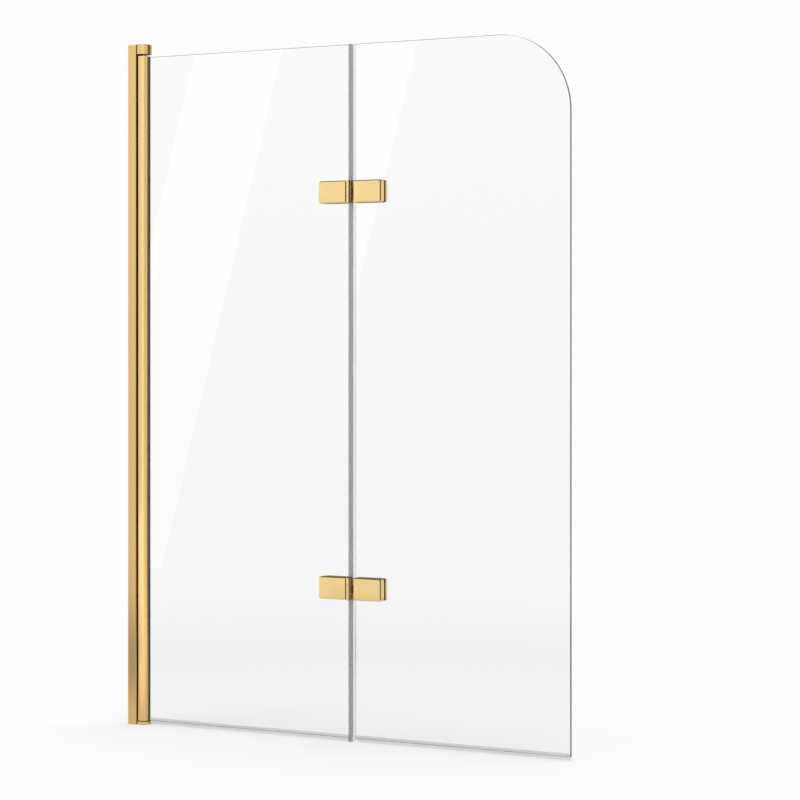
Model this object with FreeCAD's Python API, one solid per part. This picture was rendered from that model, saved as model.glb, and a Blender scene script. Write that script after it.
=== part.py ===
import FreeCAD, Part
import math
import os

# Folding bath screen. X runs from the wall to the free edge, Y away from the viewer, Z up from the bath rim.
# All sizes are in millimetres.

# Overall sizes
screen_width = 1000.0
post_height = 1400.0

# Clearances of the fits
press_gap = 0.01
running_gap = 0.05
sliding_gap = 0.1
hole_gap = 0.2
slip_gap = 0.2
past = 1.0

# Glass panes
glass_thickness = 6.0
glass_arris = 0.5
corner_radius = 150.0
joint_x = 530.0
joint_gap = 8.0

# Pivot tube, an extrusion with a central bore and a glazing pocket
pivot_x = 30.0
tube_radius = 14.0
tube_wall = 1.8
tube_core_wall = 1.4
tube_web = 1.6
tube_web_angle = 125.0
tube_top_gap = 3.5
tube_above_glass = 2.5
pocket_wall = 1.5
pocket_floor = 1.7

# Glazing gasket between tube and glass
gasket_leg = 1.2
gasket_base = 1.0
gasket_lip = 1.6
gasket_lip_edge = 0.5

# Post and the seat that the tube turns in
post_back = 0.6
post_front_behind_pivot = 9.0
post_half_width = 14.6
post_wall = 1.8
post_edge = 0.6
seat_gap = 1.4
screw_pad_half_width = 4.2

# Wall rail inside the post
rail_front_gap = 1.3
rail_wall = 1.8
rail_below_cap = 0.5
wall_hole_radius = 2.75
wall_hole_end = 100.0
wall_hole_count = 4

# Plug that closes the top of the post
cap_plate = 2.0
cap_skirt_depth = 10.0
cap_skirt_setback = 1.7
cap_skirt_wall = 1.2

# Wiper strips in the seat
wiper_angle = 38.0
wiper_groove_width = 2.4
wiper_groove_depth = 1.0
wiper_lip_width = 1.0
wiper_tube_gap = 0.4

# Side screws that clamp the post to the rail, with their domes
fixing_x = 6.5
fixing_end = 150.0
fixing_count = 3
fixing_radius = 2.0
fixing_length = 7.0
fixing_head_radius = 3.8
fixing_head_height = 2.0
fixing_head_round = 1.0
dome_side_gap = 0.7
dome_top_gap = 0.5
dome_wall = 0.9
dome_round = 2.0

# Pivot brackets
top_bracket_height = 20.0
top_bracket_cheek = 0.9
top_bracket_lap = 1.6
bottom_bracket_height = 6.5
bracket_edge = 0.8
bracket_seat_gap = 0.1

# Screws that hold the brackets from inside the post
bracket_screw_radius = 1.5
bracket_screw_tip_wall = 3.0
bracket_head_radius = 2.75
bracket_head_height = 1.8
top_screw_heights = (4.5, 12.5)

# Pivot pins and bushes
pivot_pin_radius = 3.0
pivot_pin_reach = 15.0
pivot_pin_roof = 5.0
pivot_pin_floor = 0.5
bush_wall = 1.45
bush_length = 18.0
top_flange = 1.0
top_flange_width = 2.5
bottom_flange = 1.4
bottom_flange_width = 4.5

# Hinges
upper_hinge_below_top = 291.0
lower_hinge_above_bottom = 295.0
block_length = 63.0
block_height = 44.0
block_depth = 15.0
block_corner = 4.5
block_inner_corner = 1.0
block_edge = 1.2
back_plate_depth = 8.0
clamp_gasket = 1.0
clamp_gasket_inset = 1.0
axis_stand = 0.6
knuckle_wall = 2.0
knuckle_edge = 0.3
knuckle_block_gap = 1.0
middle_knuckle = 16.0
hinge_pin_radius = 3.0
hinge_pin_recess = 0.5
hinge_bush_wall = 0.95
hinge_flange = 0.5
hinge_flange_inset = 0.6

# Clamp screws through the glass
clamp_screw_offsets = (25.0, 53.0)
clamp_screw_radius = 3.0
clamp_screw_cover = 5.0
clamp_head_radius = 6.0
clamp_head_height = 3.3
clamp_socket_flats = 4.0
clamp_socket_depth = 2.4
glass_hole_radius = 7.0
sleeve_gap = 0.1

# Seal strips
seal_wall = 1.0
seal_base = 1.2
joint_wing = 6.7
joint_bulb_wall = 0.8
joint_bulb_gap = 1.0
joint_seal_bottom = 1.0
hinge_cutout_gap = 1.0
bottom_wing = 6.0
front_fin_drop = 3.1
rear_fin_rim_gap = 0.4
fin_wall = 0.8
fin_splay = 1.0
bottom_seal_bracket_gap = 2.7

# Post and rail sizes that follow
seat_radius = tube_radius + seat_gap
post_front = pivot_x - post_front_behind_pivot
post_inner_half = post_half_width - post_wall
screw_pad_back = pivot_x - seat_radius - post_wall
rail_half_width = post_inner_half - slip_gap
rail_depth = screw_pad_back - rail_front_gap
rail_top = post_height - cap_plate - rail_below_cap
dome_radius = fixing_head_radius + dome_side_gap + dome_wall
dome_height = fixing_head_height + dome_top_gap + dome_wall

# Bracket, pivot and glass sizes that follow
bracket_bottom = post_height - top_bracket_height
top_bracket_radius = post_half_width + bracket_seat_gap + top_bracket_cheek
bottom_bracket_radius = seat_radius - bracket_seat_gap
bracket_screw_tip = pivot_x - pivot_pin_radius - bracket_screw_tip_wall
tube_bore_radius = pivot_pin_radius + running_gap + bush_wall
tube_top = bracket_bottom - tube_top_gap
tube_bottom = bottom_bracket_height + sliding_gap + bottom_flange
glass_top = tube_top - tube_above_glass
glass_bottom = tube_bottom
glass_half = glass_thickness / 2
pocket_half_width = glass_half + gasket_leg
pocket_back = pivot_x + tube_bore_radius + pocket_floor
inner_pane_edge = joint_x - joint_gap / 2
outer_pane_edge = joint_x + joint_gap / 2

# Hinge sizes that follow
clamp_face = glass_half + clamp_gasket
block_front = -(clamp_face + block_depth)
back_plate_face = clamp_face + back_plate_depth
axis_y = block_front - axis_stand
hinge_bush_radius = hinge_pin_radius + running_gap + hinge_bush_wall
knuckle_radius = hinge_bush_radius + press_gap + knuckle_wall
block_start = knuckle_radius + knuckle_block_gap
clamp_screw_tip = block_front + clamp_screw_cover
hinge_heights = {
    "upper": glass_top - upper_hinge_below_top,
    "lower": glass_bottom + lower_hinge_above_bottom,
}
INNER = -1
OUTER = 1


def box(x0, x1, y0, y1, z0, z1):
    corner = FreeCAD.Vector(x0, y0, z0)
    return Part.makeBox(x1 - x0, y1 - y0, z1 - z0, corner)


def rod(x, y, radius, z0, z1):
    return Part.makeCylinder(radius, z1 - z0, FreeCAD.Vector(x, y, z0))


def rod_x(y, z, radius, x0, x1):
    return Part.makeCylinder(radius, x1 - x0, FreeCAD.Vector(x0, y, z), FreeCAD.Vector(1, 0, 0))


def rod_y(x, z, radius, y0, y1):
    return Part.makeCylinder(radius, y1 - y0, FreeCAD.Vector(x, y0, z), FreeCAD.Vector(0, 1, 0))


def cut_all(shape, tools):
    for tool in tools:
        shape = shape.cut(tool)
    return shape


def fuse_all(shape, others):
    for other in others:
        shape = shape.fuse(other)
    return shape.removeSplitter()


def outline_prism(points, direction):
    wire = Part.makePolygon(points + points[:1])
    return Part.Face(wire).extrude(direction)


def edges_where(shape, test):
    return [edge for edge in shape.Edges if test(edge.BoundBox)]


def flat_at_y(y):
    return lambda b: abs(b.YMin - y) < 1e-4 and abs(b.YMax - y) < 1e-4


def flat_at_z(z):
    return lambda b: abs(b.ZMin - z) < 1e-4 and abs(b.ZMax - z) < 1e-4


def along_y_at(x):
    return lambda b: abs(b.XMin - x) < 1e-4 and abs(b.XMax - x) < 1e-4 and b.ZLength < 1e-4


def spaced_along_post(end, count):
    pitch = (post_height - 2 * end) / (count - 1)
    return [end + pitch * index for index in range(count)]


# Wall side

def wall_rail():
    channel = box(0, rail_depth, -rail_half_width, rail_half_width, 0, rail_top)
    inner_half = rail_half_width - rail_wall
    hollow = box(rail_wall, rail_depth + past, -inner_half, inner_half, -past, rail_top + past)
    hole_heights = spaced_along_post(wall_hole_end, wall_hole_count)
    wall_holes = [rod_x(0, z, wall_hole_radius, -past, rail_wall + past) for z in hole_heights]
    thread_radius = fixing_radius + press_gap
    threads = [
        rod_y(fixing_x, z, thread_radius, inner_half - past, post_half_width) for z in fixing_heights()
    ]
    return cut_all(channel, [hollow] + wall_holes + threads)


def fixing_heights():
    return spaced_along_post(fixing_end, fixing_count)


def top_bracket_screw_heights():
    return [bracket_bottom + height for height in top_screw_heights]


def bottom_bracket_screw_heights():
    return [bottom_bracket_height / 2]


def bracket_screw_heights():
    return top_bracket_screw_heights() + bottom_bracket_screw_heights()


def wiper_piece(r0, r1, width, z0, z1, side):
    piece = box(pivot_x - r1, pivot_x - r0, -width / 2, width / 2, z0, z1)
    piece.rotate(FreeCAD.Vector(pivot_x, 0, 0), FreeCAD.Vector(0, 0, 1), side * wiper_angle)
    return piece


def post_hollow():
    space = box(0, post_front, -post_inner_half, post_inner_half, -past, post_height + past)
    seat_wall = rod(pivot_x, 0, seat_radius + post_wall, -past, post_height + past)
    pad_half = screw_pad_half_width
    pad = box(screw_pad_back, pivot_x, -pad_half, pad_half, -past, post_height + past)
    return cut_all(space, [seat_wall, pad])


def post_profile():
    blank = box(post_back, post_front, -post_half_width, post_half_width, 0, post_height)
    front_corners = edges_where(blank, lambda b: b.XMin > post_front - past and b.ZLength > past)
    blank = blank.makeFillet(post_edge, front_corners)
    seat = rod(pivot_x, 0, seat_radius, -past, post_height + past)
    groove_floor = seat_radius + wiper_groove_depth
    grooves = [
        wiper_piece(seat_radius - past, groove_floor, wiper_groove_width, -past, post_height + past, side)
        for side in (-1, 1)
    ]
    screw_hole = bracket_screw_radius + hole_gap
    bracket_holes = [rod_x(0, z, screw_hole, screw_pad_back - past, pivot_x) for z in bracket_screw_heights()]
    side_hole = fixing_radius + hole_gap
    side_holes = [
        rod_y(fixing_x, z, side_hole, rail_half_width, post_half_width + past) for z in fixing_heights()
    ]
    return cut_all(blank, [post_hollow(), seat] + grooves + bracket_holes + side_holes)


def post_top_cap():
    half = post_inner_half - sliding_gap
    plate = box(post_back, post_front, -half, half, post_height - cap_plate, post_height)
    behind_seat = rod(pivot_x, 0, seat_radius + post_wall + sliding_gap, 0, post_height + past)
    pad_half = screw_pad_half_width + sliding_gap
    pad_back = screw_pad_back - sliding_gap
    pad = box(pad_back, post_front, -pad_half, pad_half, 0, post_height + past)
    skirt_half = rail_half_width - rail_wall - slip_gap
    skirt_back = rail_wall + slip_gap
    skirt_front = screw_pad_back - bracket_head_height - cap_skirt_setback
    skirt_top = post_height - cap_plate
    skirt_bottom = skirt_top - cap_skirt_depth
    skirt = box(skirt_back, skirt_front, -skirt_half, skirt_half, skirt_bottom, skirt_top)
    core_half = skirt_half - cap_skirt_wall
    core_back = skirt_back + cap_skirt_wall
    core_front = skirt_front - cap_skirt_wall
    core = box(core_back, core_front, -core_half, core_half, skirt_bottom - past, skirt_top)
    return fuse_all(cut_all(plate, [behind_seat, pad]), [skirt.cut(core)])


def fixing_screw(z):
    tip = post_half_width - fixing_length
    shank = rod_y(fixing_x, z, fixing_radius, tip, post_half_width)
    head_top = post_half_width + fixing_head_height
    head = rod_y(fixing_x, z, fixing_head_radius, post_half_width, head_top)
    head = head.makeFillet(fixing_head_round, edges_where(head, flat_at_y(head_top)))
    return fuse_all(head, [shank])


def screw_dome(z):
    top = post_half_width + dome_height
    dome = rod_y(fixing_x, z, dome_radius, post_half_width, top)
    dome = dome.makeFillet(dome_round, edges_where(dome, flat_at_y(top)))
    hollow = rod_y(fixing_x, z, dome_radius - dome_wall, post_half_width - past, top - dome_wall)
    return dome.cut(hollow)


def wiper_strip(side):
    width = wiper_groove_width - 2 * running_gap
    root = wiper_piece(seat_radius, seat_radius + wiper_groove_depth, width, tube_bottom, tube_top, side)
    lip_start = tube_radius + wiper_tube_gap
    lip = wiper_piece(lip_start, seat_radius + running_gap, wiper_lip_width, tube_bottom, tube_top, side)
    return fuse_all(root, [lip])


def post_keep_out():
    front = post_front + bracket_seat_gap
    half = post_half_width + bracket_seat_gap
    outline = box(-past, front, -half, half, -past, post_height + past)
    return outline.cut(rod(pivot_x, 0, seat_radius - bracket_seat_gap, -past, post_height + past))


def bracket_screw_holes(heights):
    radius = bracket_screw_radius + press_gap
    return [rod_x(0, z, radius, 0, bracket_screw_tip + press_gap) for z in heights]


def top_bracket():
    boss = rod(pivot_x, 0, top_bracket_radius, bracket_bottom, post_height)
    half = top_bracket_radius
    cheeks = box(post_front - top_bracket_lap, pivot_x, -half, half, bracket_bottom, post_height)
    blank = fuse_all(boss, [cheeks])
    rims = edges_where(blank, flat_at_z(post_height)) + edges_where(blank, flat_at_z(bracket_bottom))
    blank = blank.makeFillet(bracket_edge, rims)
    pin_top = post_height - pivot_pin_roof
    pin_hole = rod(pivot_x, 0, pivot_pin_radius + press_gap, bracket_bottom - past, pin_top)
    return cut_all(blank, [post_keep_out(), pin_hole] + bracket_screw_holes(top_bracket_screw_heights()))


def bottom_bracket():
    blank = rod(pivot_x, 0, bottom_bracket_radius, 0, bottom_bracket_height)
    blank = blank.makeFillet(bracket_edge, edges_where(blank, flat_at_z(bottom_bracket_height)))
    pin_hole = rod(pivot_x, 0, pivot_pin_radius + press_gap, pivot_pin_floor, bottom_bracket_height + past)
    return cut_all(blank, [post_keep_out(), pin_hole] + bracket_screw_holes(bottom_bracket_screw_heights()))


def bracket_screw(z):
    shank = rod_x(0, z, bracket_screw_radius, screw_pad_back, bracket_screw_tip)
    head = rod_x(0, z, bracket_head_radius, screw_pad_back - bracket_head_height, screw_pad_back)
    return fuse_all(head, [shank])


def top_pivot_pin():
    return rod(pivot_x, 0, pivot_pin_radius, tube_top - pivot_pin_reach, post_height - pivot_pin_roof)


def bottom_pivot_pin():
    return rod(pivot_x, 0, pivot_pin_radius, pivot_pin_floor, tube_bottom + pivot_pin_reach)


# Inner leaf

def tube_webs():
    webs = []
    for side in (-1, 1):
        web_end = pivot_x + tube_radius - tube_wall / 2
        web = box(pivot_x, web_end, -tube_web / 2, tube_web / 2, tube_bottom, tube_top)
        web.rotate(FreeCAD.Vector(pivot_x, 0, 0), FreeCAD.Vector(0, 0, 1), side * tube_web_angle)
        webs.append(web)
    return webs


def pivot_tube():
    outer = rod(pivot_x, 0, tube_radius, tube_bottom, tube_top)
    wall = outer.cut(rod(pivot_x, 0, tube_radius - tube_wall, tube_bottom, tube_top))
    core = rod(pivot_x, 0, tube_bore_radius + tube_core_wall, tube_bottom, tube_top)
    pocket_outer = pocket_half_width + pocket_wall
    pocket_end = pivot_x + tube_radius + past
    pocket = box(pivot_x, pocket_end, -pocket_outer, pocket_outer, tube_bottom, tube_top).common(outer)
    body = fuse_all(wall, [core, pocket] + tube_webs())
    z0 = tube_bottom - past
    z1 = tube_top + past
    bore = rod(pivot_x, 0, tube_bore_radius, z0, z1)
    slot = box(pocket_back, pocket_end, -pocket_half_width, pocket_half_width, z0, z1)
    return cut_all(body, [bore, slot])


def pivot_bush(z0, z1, flange_width, flange_z0, flange_z1):
    body = rod(pivot_x, 0, tube_bore_radius - press_gap, z0, z1)
    flange = rod(pivot_x, 0, tube_bore_radius + flange_width, flange_z0, flange_z1)
    bore = rod(pivot_x, 0, pivot_pin_radius + running_gap, z0 - past, z1 + past)
    return fuse_all(body, [flange]).cut(bore)


def top_pivot_bush():
    top = tube_top + top_flange
    return pivot_bush(tube_top - bush_length, top, top_flange_width, tube_top, top)


def bottom_pivot_bush():
    bottom = tube_bottom - bottom_flange
    return pivot_bush(bottom, tube_bottom + bush_length, bottom_flange_width, bottom, tube_bottom)


def glazing_gasket():
    tube_face = pivot_x + math.sqrt(tube_radius ** 2 - pocket_half_width ** 2)
    lip_end = pivot_x + tube_radius + gasket_lip
    half_outline = [
        (pocket_back, pocket_half_width),
        (tube_face, pocket_half_width),
        (lip_end, glass_half + gasket_lip_edge),
        (lip_end, glass_half),
        (pocket_back + gasket_base, glass_half),
    ]
    front = [FreeCAD.Vector(x, -y, glass_bottom) for x, y in half_outline]
    rear = [FreeCAD.Vector(x, y, glass_bottom) for x, y in reversed(half_outline)]
    return outline_prism(front + rear, FreeCAD.Vector(0, 0, glass_top - glass_bottom))


def clamp_screw_points(side):
    points = []
    for z in hinge_heights.values():
        points += [(joint_x + side * offset, z) for offset in clamp_screw_offsets]
    return points


def finished_pane(pane, side):
    rims = edges_where(pane, flat_at_y(-glass_half)) + edges_where(pane, flat_at_y(glass_half))
    pane = pane.makeChamfer(glass_arris, rims)
    holes = [
        rod_y(x, z, glass_hole_radius, -glass_half - past, glass_half + past)
        for x, z in clamp_screw_points(side)
    ]
    return cut_all(pane, holes)


def inner_glass():
    hidden_edge = pocket_back + gasket_base
    pane = box(hidden_edge, inner_pane_edge, -glass_half, glass_half, glass_bottom, glass_top)
    return finished_pane(pane, INNER)


def outer_glass():
    pane = box(outer_pane_edge, screen_width, -glass_half, glass_half, glass_bottom, glass_top)
    far_edges = edges_where(pane, along_y_at(screen_width))
    top_corner = [edge for edge in far_edges if edge.BoundBox.ZMin > glass_bottom + past]
    pane = pane.makeFillet(corner_radius, top_corner)
    return finished_pane(pane, OUTER)


def joint_seal_length(z0, z1):
    outer = glass_half + seal_wall
    wing_start = inner_pane_edge - joint_wing
    base_end = inner_pane_edge + seal_base
    clip = box(wing_start, base_end, -outer, outer, z0, z1)
    slot = box(wing_start - past, inner_pane_edge, -glass_half, glass_half, z0 - past, z1 + past)
    bulb_start = base_end - joint_bulb_wall / 2
    bulb_radius = (outer_pane_edge - joint_bulb_gap - bulb_start) / 2
    bulb_x = bulb_start + bulb_radius
    bulb = rod(bulb_x, 0, bulb_radius, z0, z1)
    hollow = rod(bulb_x, 0, bulb_radius - joint_bulb_wall, z0 - past, z1 + past)
    return cut_all(fuse_all(clip, [bulb]), [slot, hollow])


def joint_seal_spans():
    half_cut = block_height / 2 + hinge_cutout_gap
    lower = hinge_heights["lower"]
    upper = hinge_heights["upper"]
    return [
        (joint_seal_bottom, lower - half_cut),
        (lower + half_cut, upper - half_cut),
        (upper + half_cut, glass_top),
    ]


def bottom_seal(x0, x1):
    outer = glass_half + seal_wall
    base_bottom = glass_bottom - seal_base
    wing_top = glass_bottom + bottom_wing
    fin_root = outer - fin_wall
    front_fin_end = base_bottom - front_fin_drop
    front_tip = outer + fin_splay / 2
    rear_tip = outer + fin_splay
    outline = [
        (-outer, wing_top),
        (-outer, base_bottom),
        (-front_tip, front_fin_end),
        (fin_wall - front_tip, front_fin_end),
        (-fin_root, base_bottom),
        (fin_root, base_bottom),
        (rear_tip - fin_wall, rear_fin_rim_gap),
        (rear_tip, rear_fin_rim_gap),
        (outer, base_bottom),
        (outer, wing_top),
        (glass_half, wing_top),
        (glass_half, glass_bottom),
        (-glass_half, glass_bottom),
        (-glass_half, wing_top),
    ]
    points = [FreeCAD.Vector(x0, y, z) for y, z in outline]
    return outline_prism(points, FreeCAD.Vector(x1 - x0, 0, 0))


def inner_bottom_seal():
    start = pivot_x + bottom_bracket_radius + bottom_seal_bracket_gap
    return bottom_seal(start, inner_pane_edge - joint_wing - slip_gap)


# Hinges, where side is INNER or OUTER and distances run from the joint

def clamp_plate(side, z_mid, y0, y1, inset):
    near = joint_x + side * (block_start + inset)
    far = joint_x + side * (block_start + block_length - inset)
    half = block_height / 2 - inset
    plate = box(min(near, far), max(near, far), y0, y1, z_mid - half, z_mid + half)
    plate = plate.makeFillet(block_corner, edges_where(plate, along_y_at(far)))
    return plate.makeFillet(block_inner_corner, edges_where(plate, along_y_at(near)))


def clamp_holes(side, z_mid, radius, y0, y1):
    return [rod_y(joint_x + side * offset, z_mid, radius, y0, y1) for offset in clamp_screw_offsets]


def knuckle(side, z0, z1):
    barrel = rod(joint_x, axis_y, knuckle_radius, z0, z1)
    rims = edges_where(barrel, flat_at_z(z0)) + edges_where(barrel, flat_at_z(z1))
    barrel = barrel.makeChamfer(knuckle_edge, rims)
    reach = joint_x + side * (block_start + block_edge)
    web_front = block_front + block_edge
    web_back = axis_y + knuckle_radius
    web_z0 = z0 + knuckle_edge
    web_z1 = z1 - knuckle_edge
    web = box(min(joint_x, reach), max(joint_x, reach), web_front, web_back, web_z0, web_z1)
    return fuse_all(barrel, [web])


def hinge_knuckle_spans(z_mid):
    half_middle = middle_knuckle / 2
    inner_start = half_middle + hinge_flange + sliding_gap
    half = block_height / 2
    return {
        INNER: [(z_mid - half, z_mid - inner_start), (z_mid + inner_start, z_mid + half)],
        OUTER: [(z_mid - half_middle, z_mid + half_middle)],
    }


def hinge_block(side, z_mid):
    block = clamp_plate(side, z_mid, block_front, -clamp_face, 0)
    block = block.makeFillet(block_edge, edges_where(block, flat_at_y(block_front)))
    spans = hinge_knuckle_spans(z_mid)[side]
    block = fuse_all(block, [knuckle(side, z0, z1) for z0, z1 in spans])
    fitted_radius = hinge_pin_radius if side == INNER else hinge_bush_radius
    half = block_height / 2 + past
    bore = rod(joint_x, axis_y, fitted_radius + press_gap, z_mid - half, z_mid + half)
    thread_radius = clamp_screw_radius + press_gap
    thread_end = clamp_screw_tip - press_gap
    threads = clamp_holes(side, z_mid, thread_radius, thread_end, past - clamp_face)
    return cut_all(block, [bore] + threads)


def back_plate(side, z_mid):
    plate = clamp_plate(side, z_mid, clamp_face, back_plate_face, 0)
    plate = plate.makeFillet(block_edge, edges_where(plate, flat_at_y(back_plate_face)))
    holes = clamp_holes(side, z_mid, clamp_screw_radius + hole_gap, clamp_face - past, back_plate_face)
    countersinks = [clamp_head(side, z_mid, offset) for offset in clamp_screw_offsets]
    return cut_all(plate, holes + countersinks)


def clamp_gasket_sheet(side, z_mid, y0, y1):
    sheet = clamp_plate(side, z_mid, y0, y1, clamp_gasket_inset)
    return cut_all(sheet, clamp_holes(side, z_mid, clamp_screw_radius + hole_gap, y0 - past, y1 + past))


def clamp_head(side, z_mid, offset):
    foot = FreeCAD.Vector(joint_x + side * offset, back_plate_face - clamp_head_height, z_mid)
    along = FreeCAD.Vector(0, 1, 0)
    return Part.makeCone(clamp_screw_radius, clamp_head_radius, clamp_head_height, foot, along)


def hex_socket(x, z):
    corner_radius_of_hex = clamp_socket_flats / math.sqrt(3)
    y = back_plate_face - clamp_socket_depth
    corners = []
    for index in range(6):
        angle = math.radians(60 * index)
        corner_x = x + corner_radius_of_hex * math.cos(angle)
        corner_z = z + corner_radius_of_hex * math.sin(angle)
        corners.append(FreeCAD.Vector(corner_x, y, corner_z))
    return outline_prism(corners, FreeCAD.Vector(0, clamp_socket_depth + past, 0))


def clamp_screw(side, z_mid, offset):
    x = joint_x + side * offset
    shank = rod_y(x, z_mid, clamp_screw_radius, clamp_screw_tip, back_plate_face - clamp_head_height)
    return fuse_all(clamp_head(side, z_mid, offset), [shank]).cut(hex_socket(x, z_mid))


def glass_sleeve(side, z_mid, offset):
    x = joint_x + side * offset
    sleeve = rod_y(x, z_mid, glass_hole_radius - sleeve_gap, -glass_half, glass_half)
    return sleeve.cut(rod_y(x, z_mid, clamp_screw_radius + hole_gap, -glass_half - past, glass_half + past))


def hinge_pin(z_mid):
    half = block_height / 2 - hinge_pin_recess
    return rod(joint_x, axis_y, hinge_pin_radius, z_mid - half, z_mid + half)


def knuckle_bush(z_mid, end):
    face = z_mid + end * middle_knuckle / 2
    lip = face + end * hinge_flange
    body = rod(joint_x, axis_y, hinge_bush_radius, min(z_mid, face), max(z_mid, face))
    flange_radius = knuckle_radius - hinge_flange_inset
    flange = rod(joint_x, axis_y, flange_radius, min(face, lip), max(face, lip))
    half = block_height / 2
    bore = rod(joint_x, axis_y, hinge_pin_radius + running_gap, z_mid - half, z_mid + half)
    return fuse_all(body, [flange]).cut(bore)


# Saving the nodes

def save(name, solids):
    shape = solids[0] if len(solids) == 1 else Part.makeCompound(solids)
    shape.exportStep("parts/" + name + ".step")


def save_wall_side():
    save("wall_rail", [wall_rail()])
    save("post_profile", [post_profile()])
    save("post_top_cap", [post_top_cap()])
    save("post_fixing_screws", [fixing_screw(z) for z in fixing_heights()])
    save("post_screw_caps", [screw_dome(z) for z in fixing_heights()])
    save("post_wiper_seal", [wiper_strip(side) for side in (-1, 1)])
    save("top_bracket", [top_bracket()])
    save("bottom_bracket", [bottom_bracket()])
    save("bracket_screws", [bracket_screw(z) for z in bracket_screw_heights()])
    save("top_pivot_pin", [top_pivot_pin()])
    save("bottom_pivot_pin", [bottom_pivot_pin()])


def save_panes():
    save("pivot_tube", [pivot_tube()])
    save("top_pivot_bush", [top_pivot_bush()])
    save("bottom_pivot_bush", [bottom_pivot_bush()])
    save("glazing_gasket", [glazing_gasket()])
    save("inner_glass", [inner_glass()])
    save("inner_bottom_seal", [inner_bottom_seal()])
    save("joint_seal", [joint_seal_length(z0, z1) for z0, z1 in joint_seal_spans()])
    save("outer_glass", [outer_glass()])
    save("outer_bottom_seal", [bottom_seal(outer_pane_edge, screen_width)])


def save_hinge(place, z_mid):
    for side, leaf in ((INNER, "inner"), (OUTER, "outer")):
        name = place + "_" + leaf
        save(name + "_block", [hinge_block(side, z_mid)])
        save(name + "_back_plate", [back_plate(side, z_mid)])
        save(name + "_front_gasket", [clamp_gasket_sheet(side, z_mid, -clamp_face, -glass_half)])
        save(name + "_back_gasket", [clamp_gasket_sheet(side, z_mid, glass_half, clamp_face)])
        save(name + "_screws", [clamp_screw(side, z_mid, offset) for offset in clamp_screw_offsets])
        save(name + "_sleeves", [glass_sleeve(side, z_mid, offset) for offset in clamp_screw_offsets])
    save(place + "_hinge_pin", [hinge_pin(z_mid)])
    save(place + "_knuckle_bushes", [knuckle_bush(z_mid, end) for end in (-1, 1)])


os.makedirs("parts", exist_ok=True)
save_wall_side()
save_panes()
for hinge_place, hinge_z in hinge_heights.items():
    save_hinge(hinge_place, hinge_z)
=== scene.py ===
import math

import bmesh
import bpy
from bpy.props import FloatProperty, FloatVectorProperty, IntProperty, PointerProperty
from mathutils import Matrix, Vector


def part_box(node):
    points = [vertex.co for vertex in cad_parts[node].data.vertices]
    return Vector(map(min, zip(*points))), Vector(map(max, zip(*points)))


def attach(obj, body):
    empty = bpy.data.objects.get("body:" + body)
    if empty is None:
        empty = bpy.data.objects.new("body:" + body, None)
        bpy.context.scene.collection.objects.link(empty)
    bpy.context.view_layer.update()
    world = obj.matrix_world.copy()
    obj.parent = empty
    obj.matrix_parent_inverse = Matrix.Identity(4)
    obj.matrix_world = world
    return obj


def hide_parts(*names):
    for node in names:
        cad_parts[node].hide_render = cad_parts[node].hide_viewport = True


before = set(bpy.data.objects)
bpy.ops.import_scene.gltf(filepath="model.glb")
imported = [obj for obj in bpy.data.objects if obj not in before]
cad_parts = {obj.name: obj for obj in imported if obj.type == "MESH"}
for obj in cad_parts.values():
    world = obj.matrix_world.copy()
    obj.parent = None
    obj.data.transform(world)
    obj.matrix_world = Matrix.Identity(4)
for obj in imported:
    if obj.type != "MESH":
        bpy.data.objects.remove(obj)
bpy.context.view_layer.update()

bl_info = {
    "name": "Folding Bath Screen",
    "version": (1, 0, 0),
    "blender": (4, 5, 0),
    "location": "3D View > Sidebar > Bath Screen",
    "description": "Dresses a two-pane folding bath screen with gold fittings",
    "category": "Object",
}

# Outlines are drawn in millimetres, in the frame of the solids, and a finished piece is scaled to metres.
MM = 0.001
WELD = 0.0005
# How much of a face's normal lies along a direction that it looks in, or is square to.
LOOKS = 0.5
SQUARE = 0.9
# The least turn at a corner edge in radians, and the most turn that is shaded smooth in degrees.
CORNER_TURN = 0.5
SMOOTH_TURN = 35.0
EVEN_WEIGHT = 80
# Each leaf of the screen with its body and its side of the joint.
LEAVES = (("inner", "inner_leaf", -1), ("outer", "outer_leaf", 1))
HINGE_PLACES = ("upper", "lower")


def node_box(node):
    """Lowest and highest corner of a solid, in millimetres."""
    low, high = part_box(node)
    return low / MM, high / MM


def length(name, description, default_mm):
    """A length a user may change, kept in metres."""
    return FloatProperty(
        name=name, description=description, default=default_mm * MM, min=0.0, precision=5,
        unit="LENGTH", subtype="DISTANCE",
    )


def count(name, description, default, least, most):
    """A number of steps a user may change."""
    return IntProperty(name=name, description=description, default=default, min=least, max=most)


def colour(name, description, default):
    """A colour a user may change."""
    return FloatVectorProperty(
        name=name, description=description, default=default, size=4, min=0.0, max=1.0, subtype="COLOR"
    )


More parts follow.
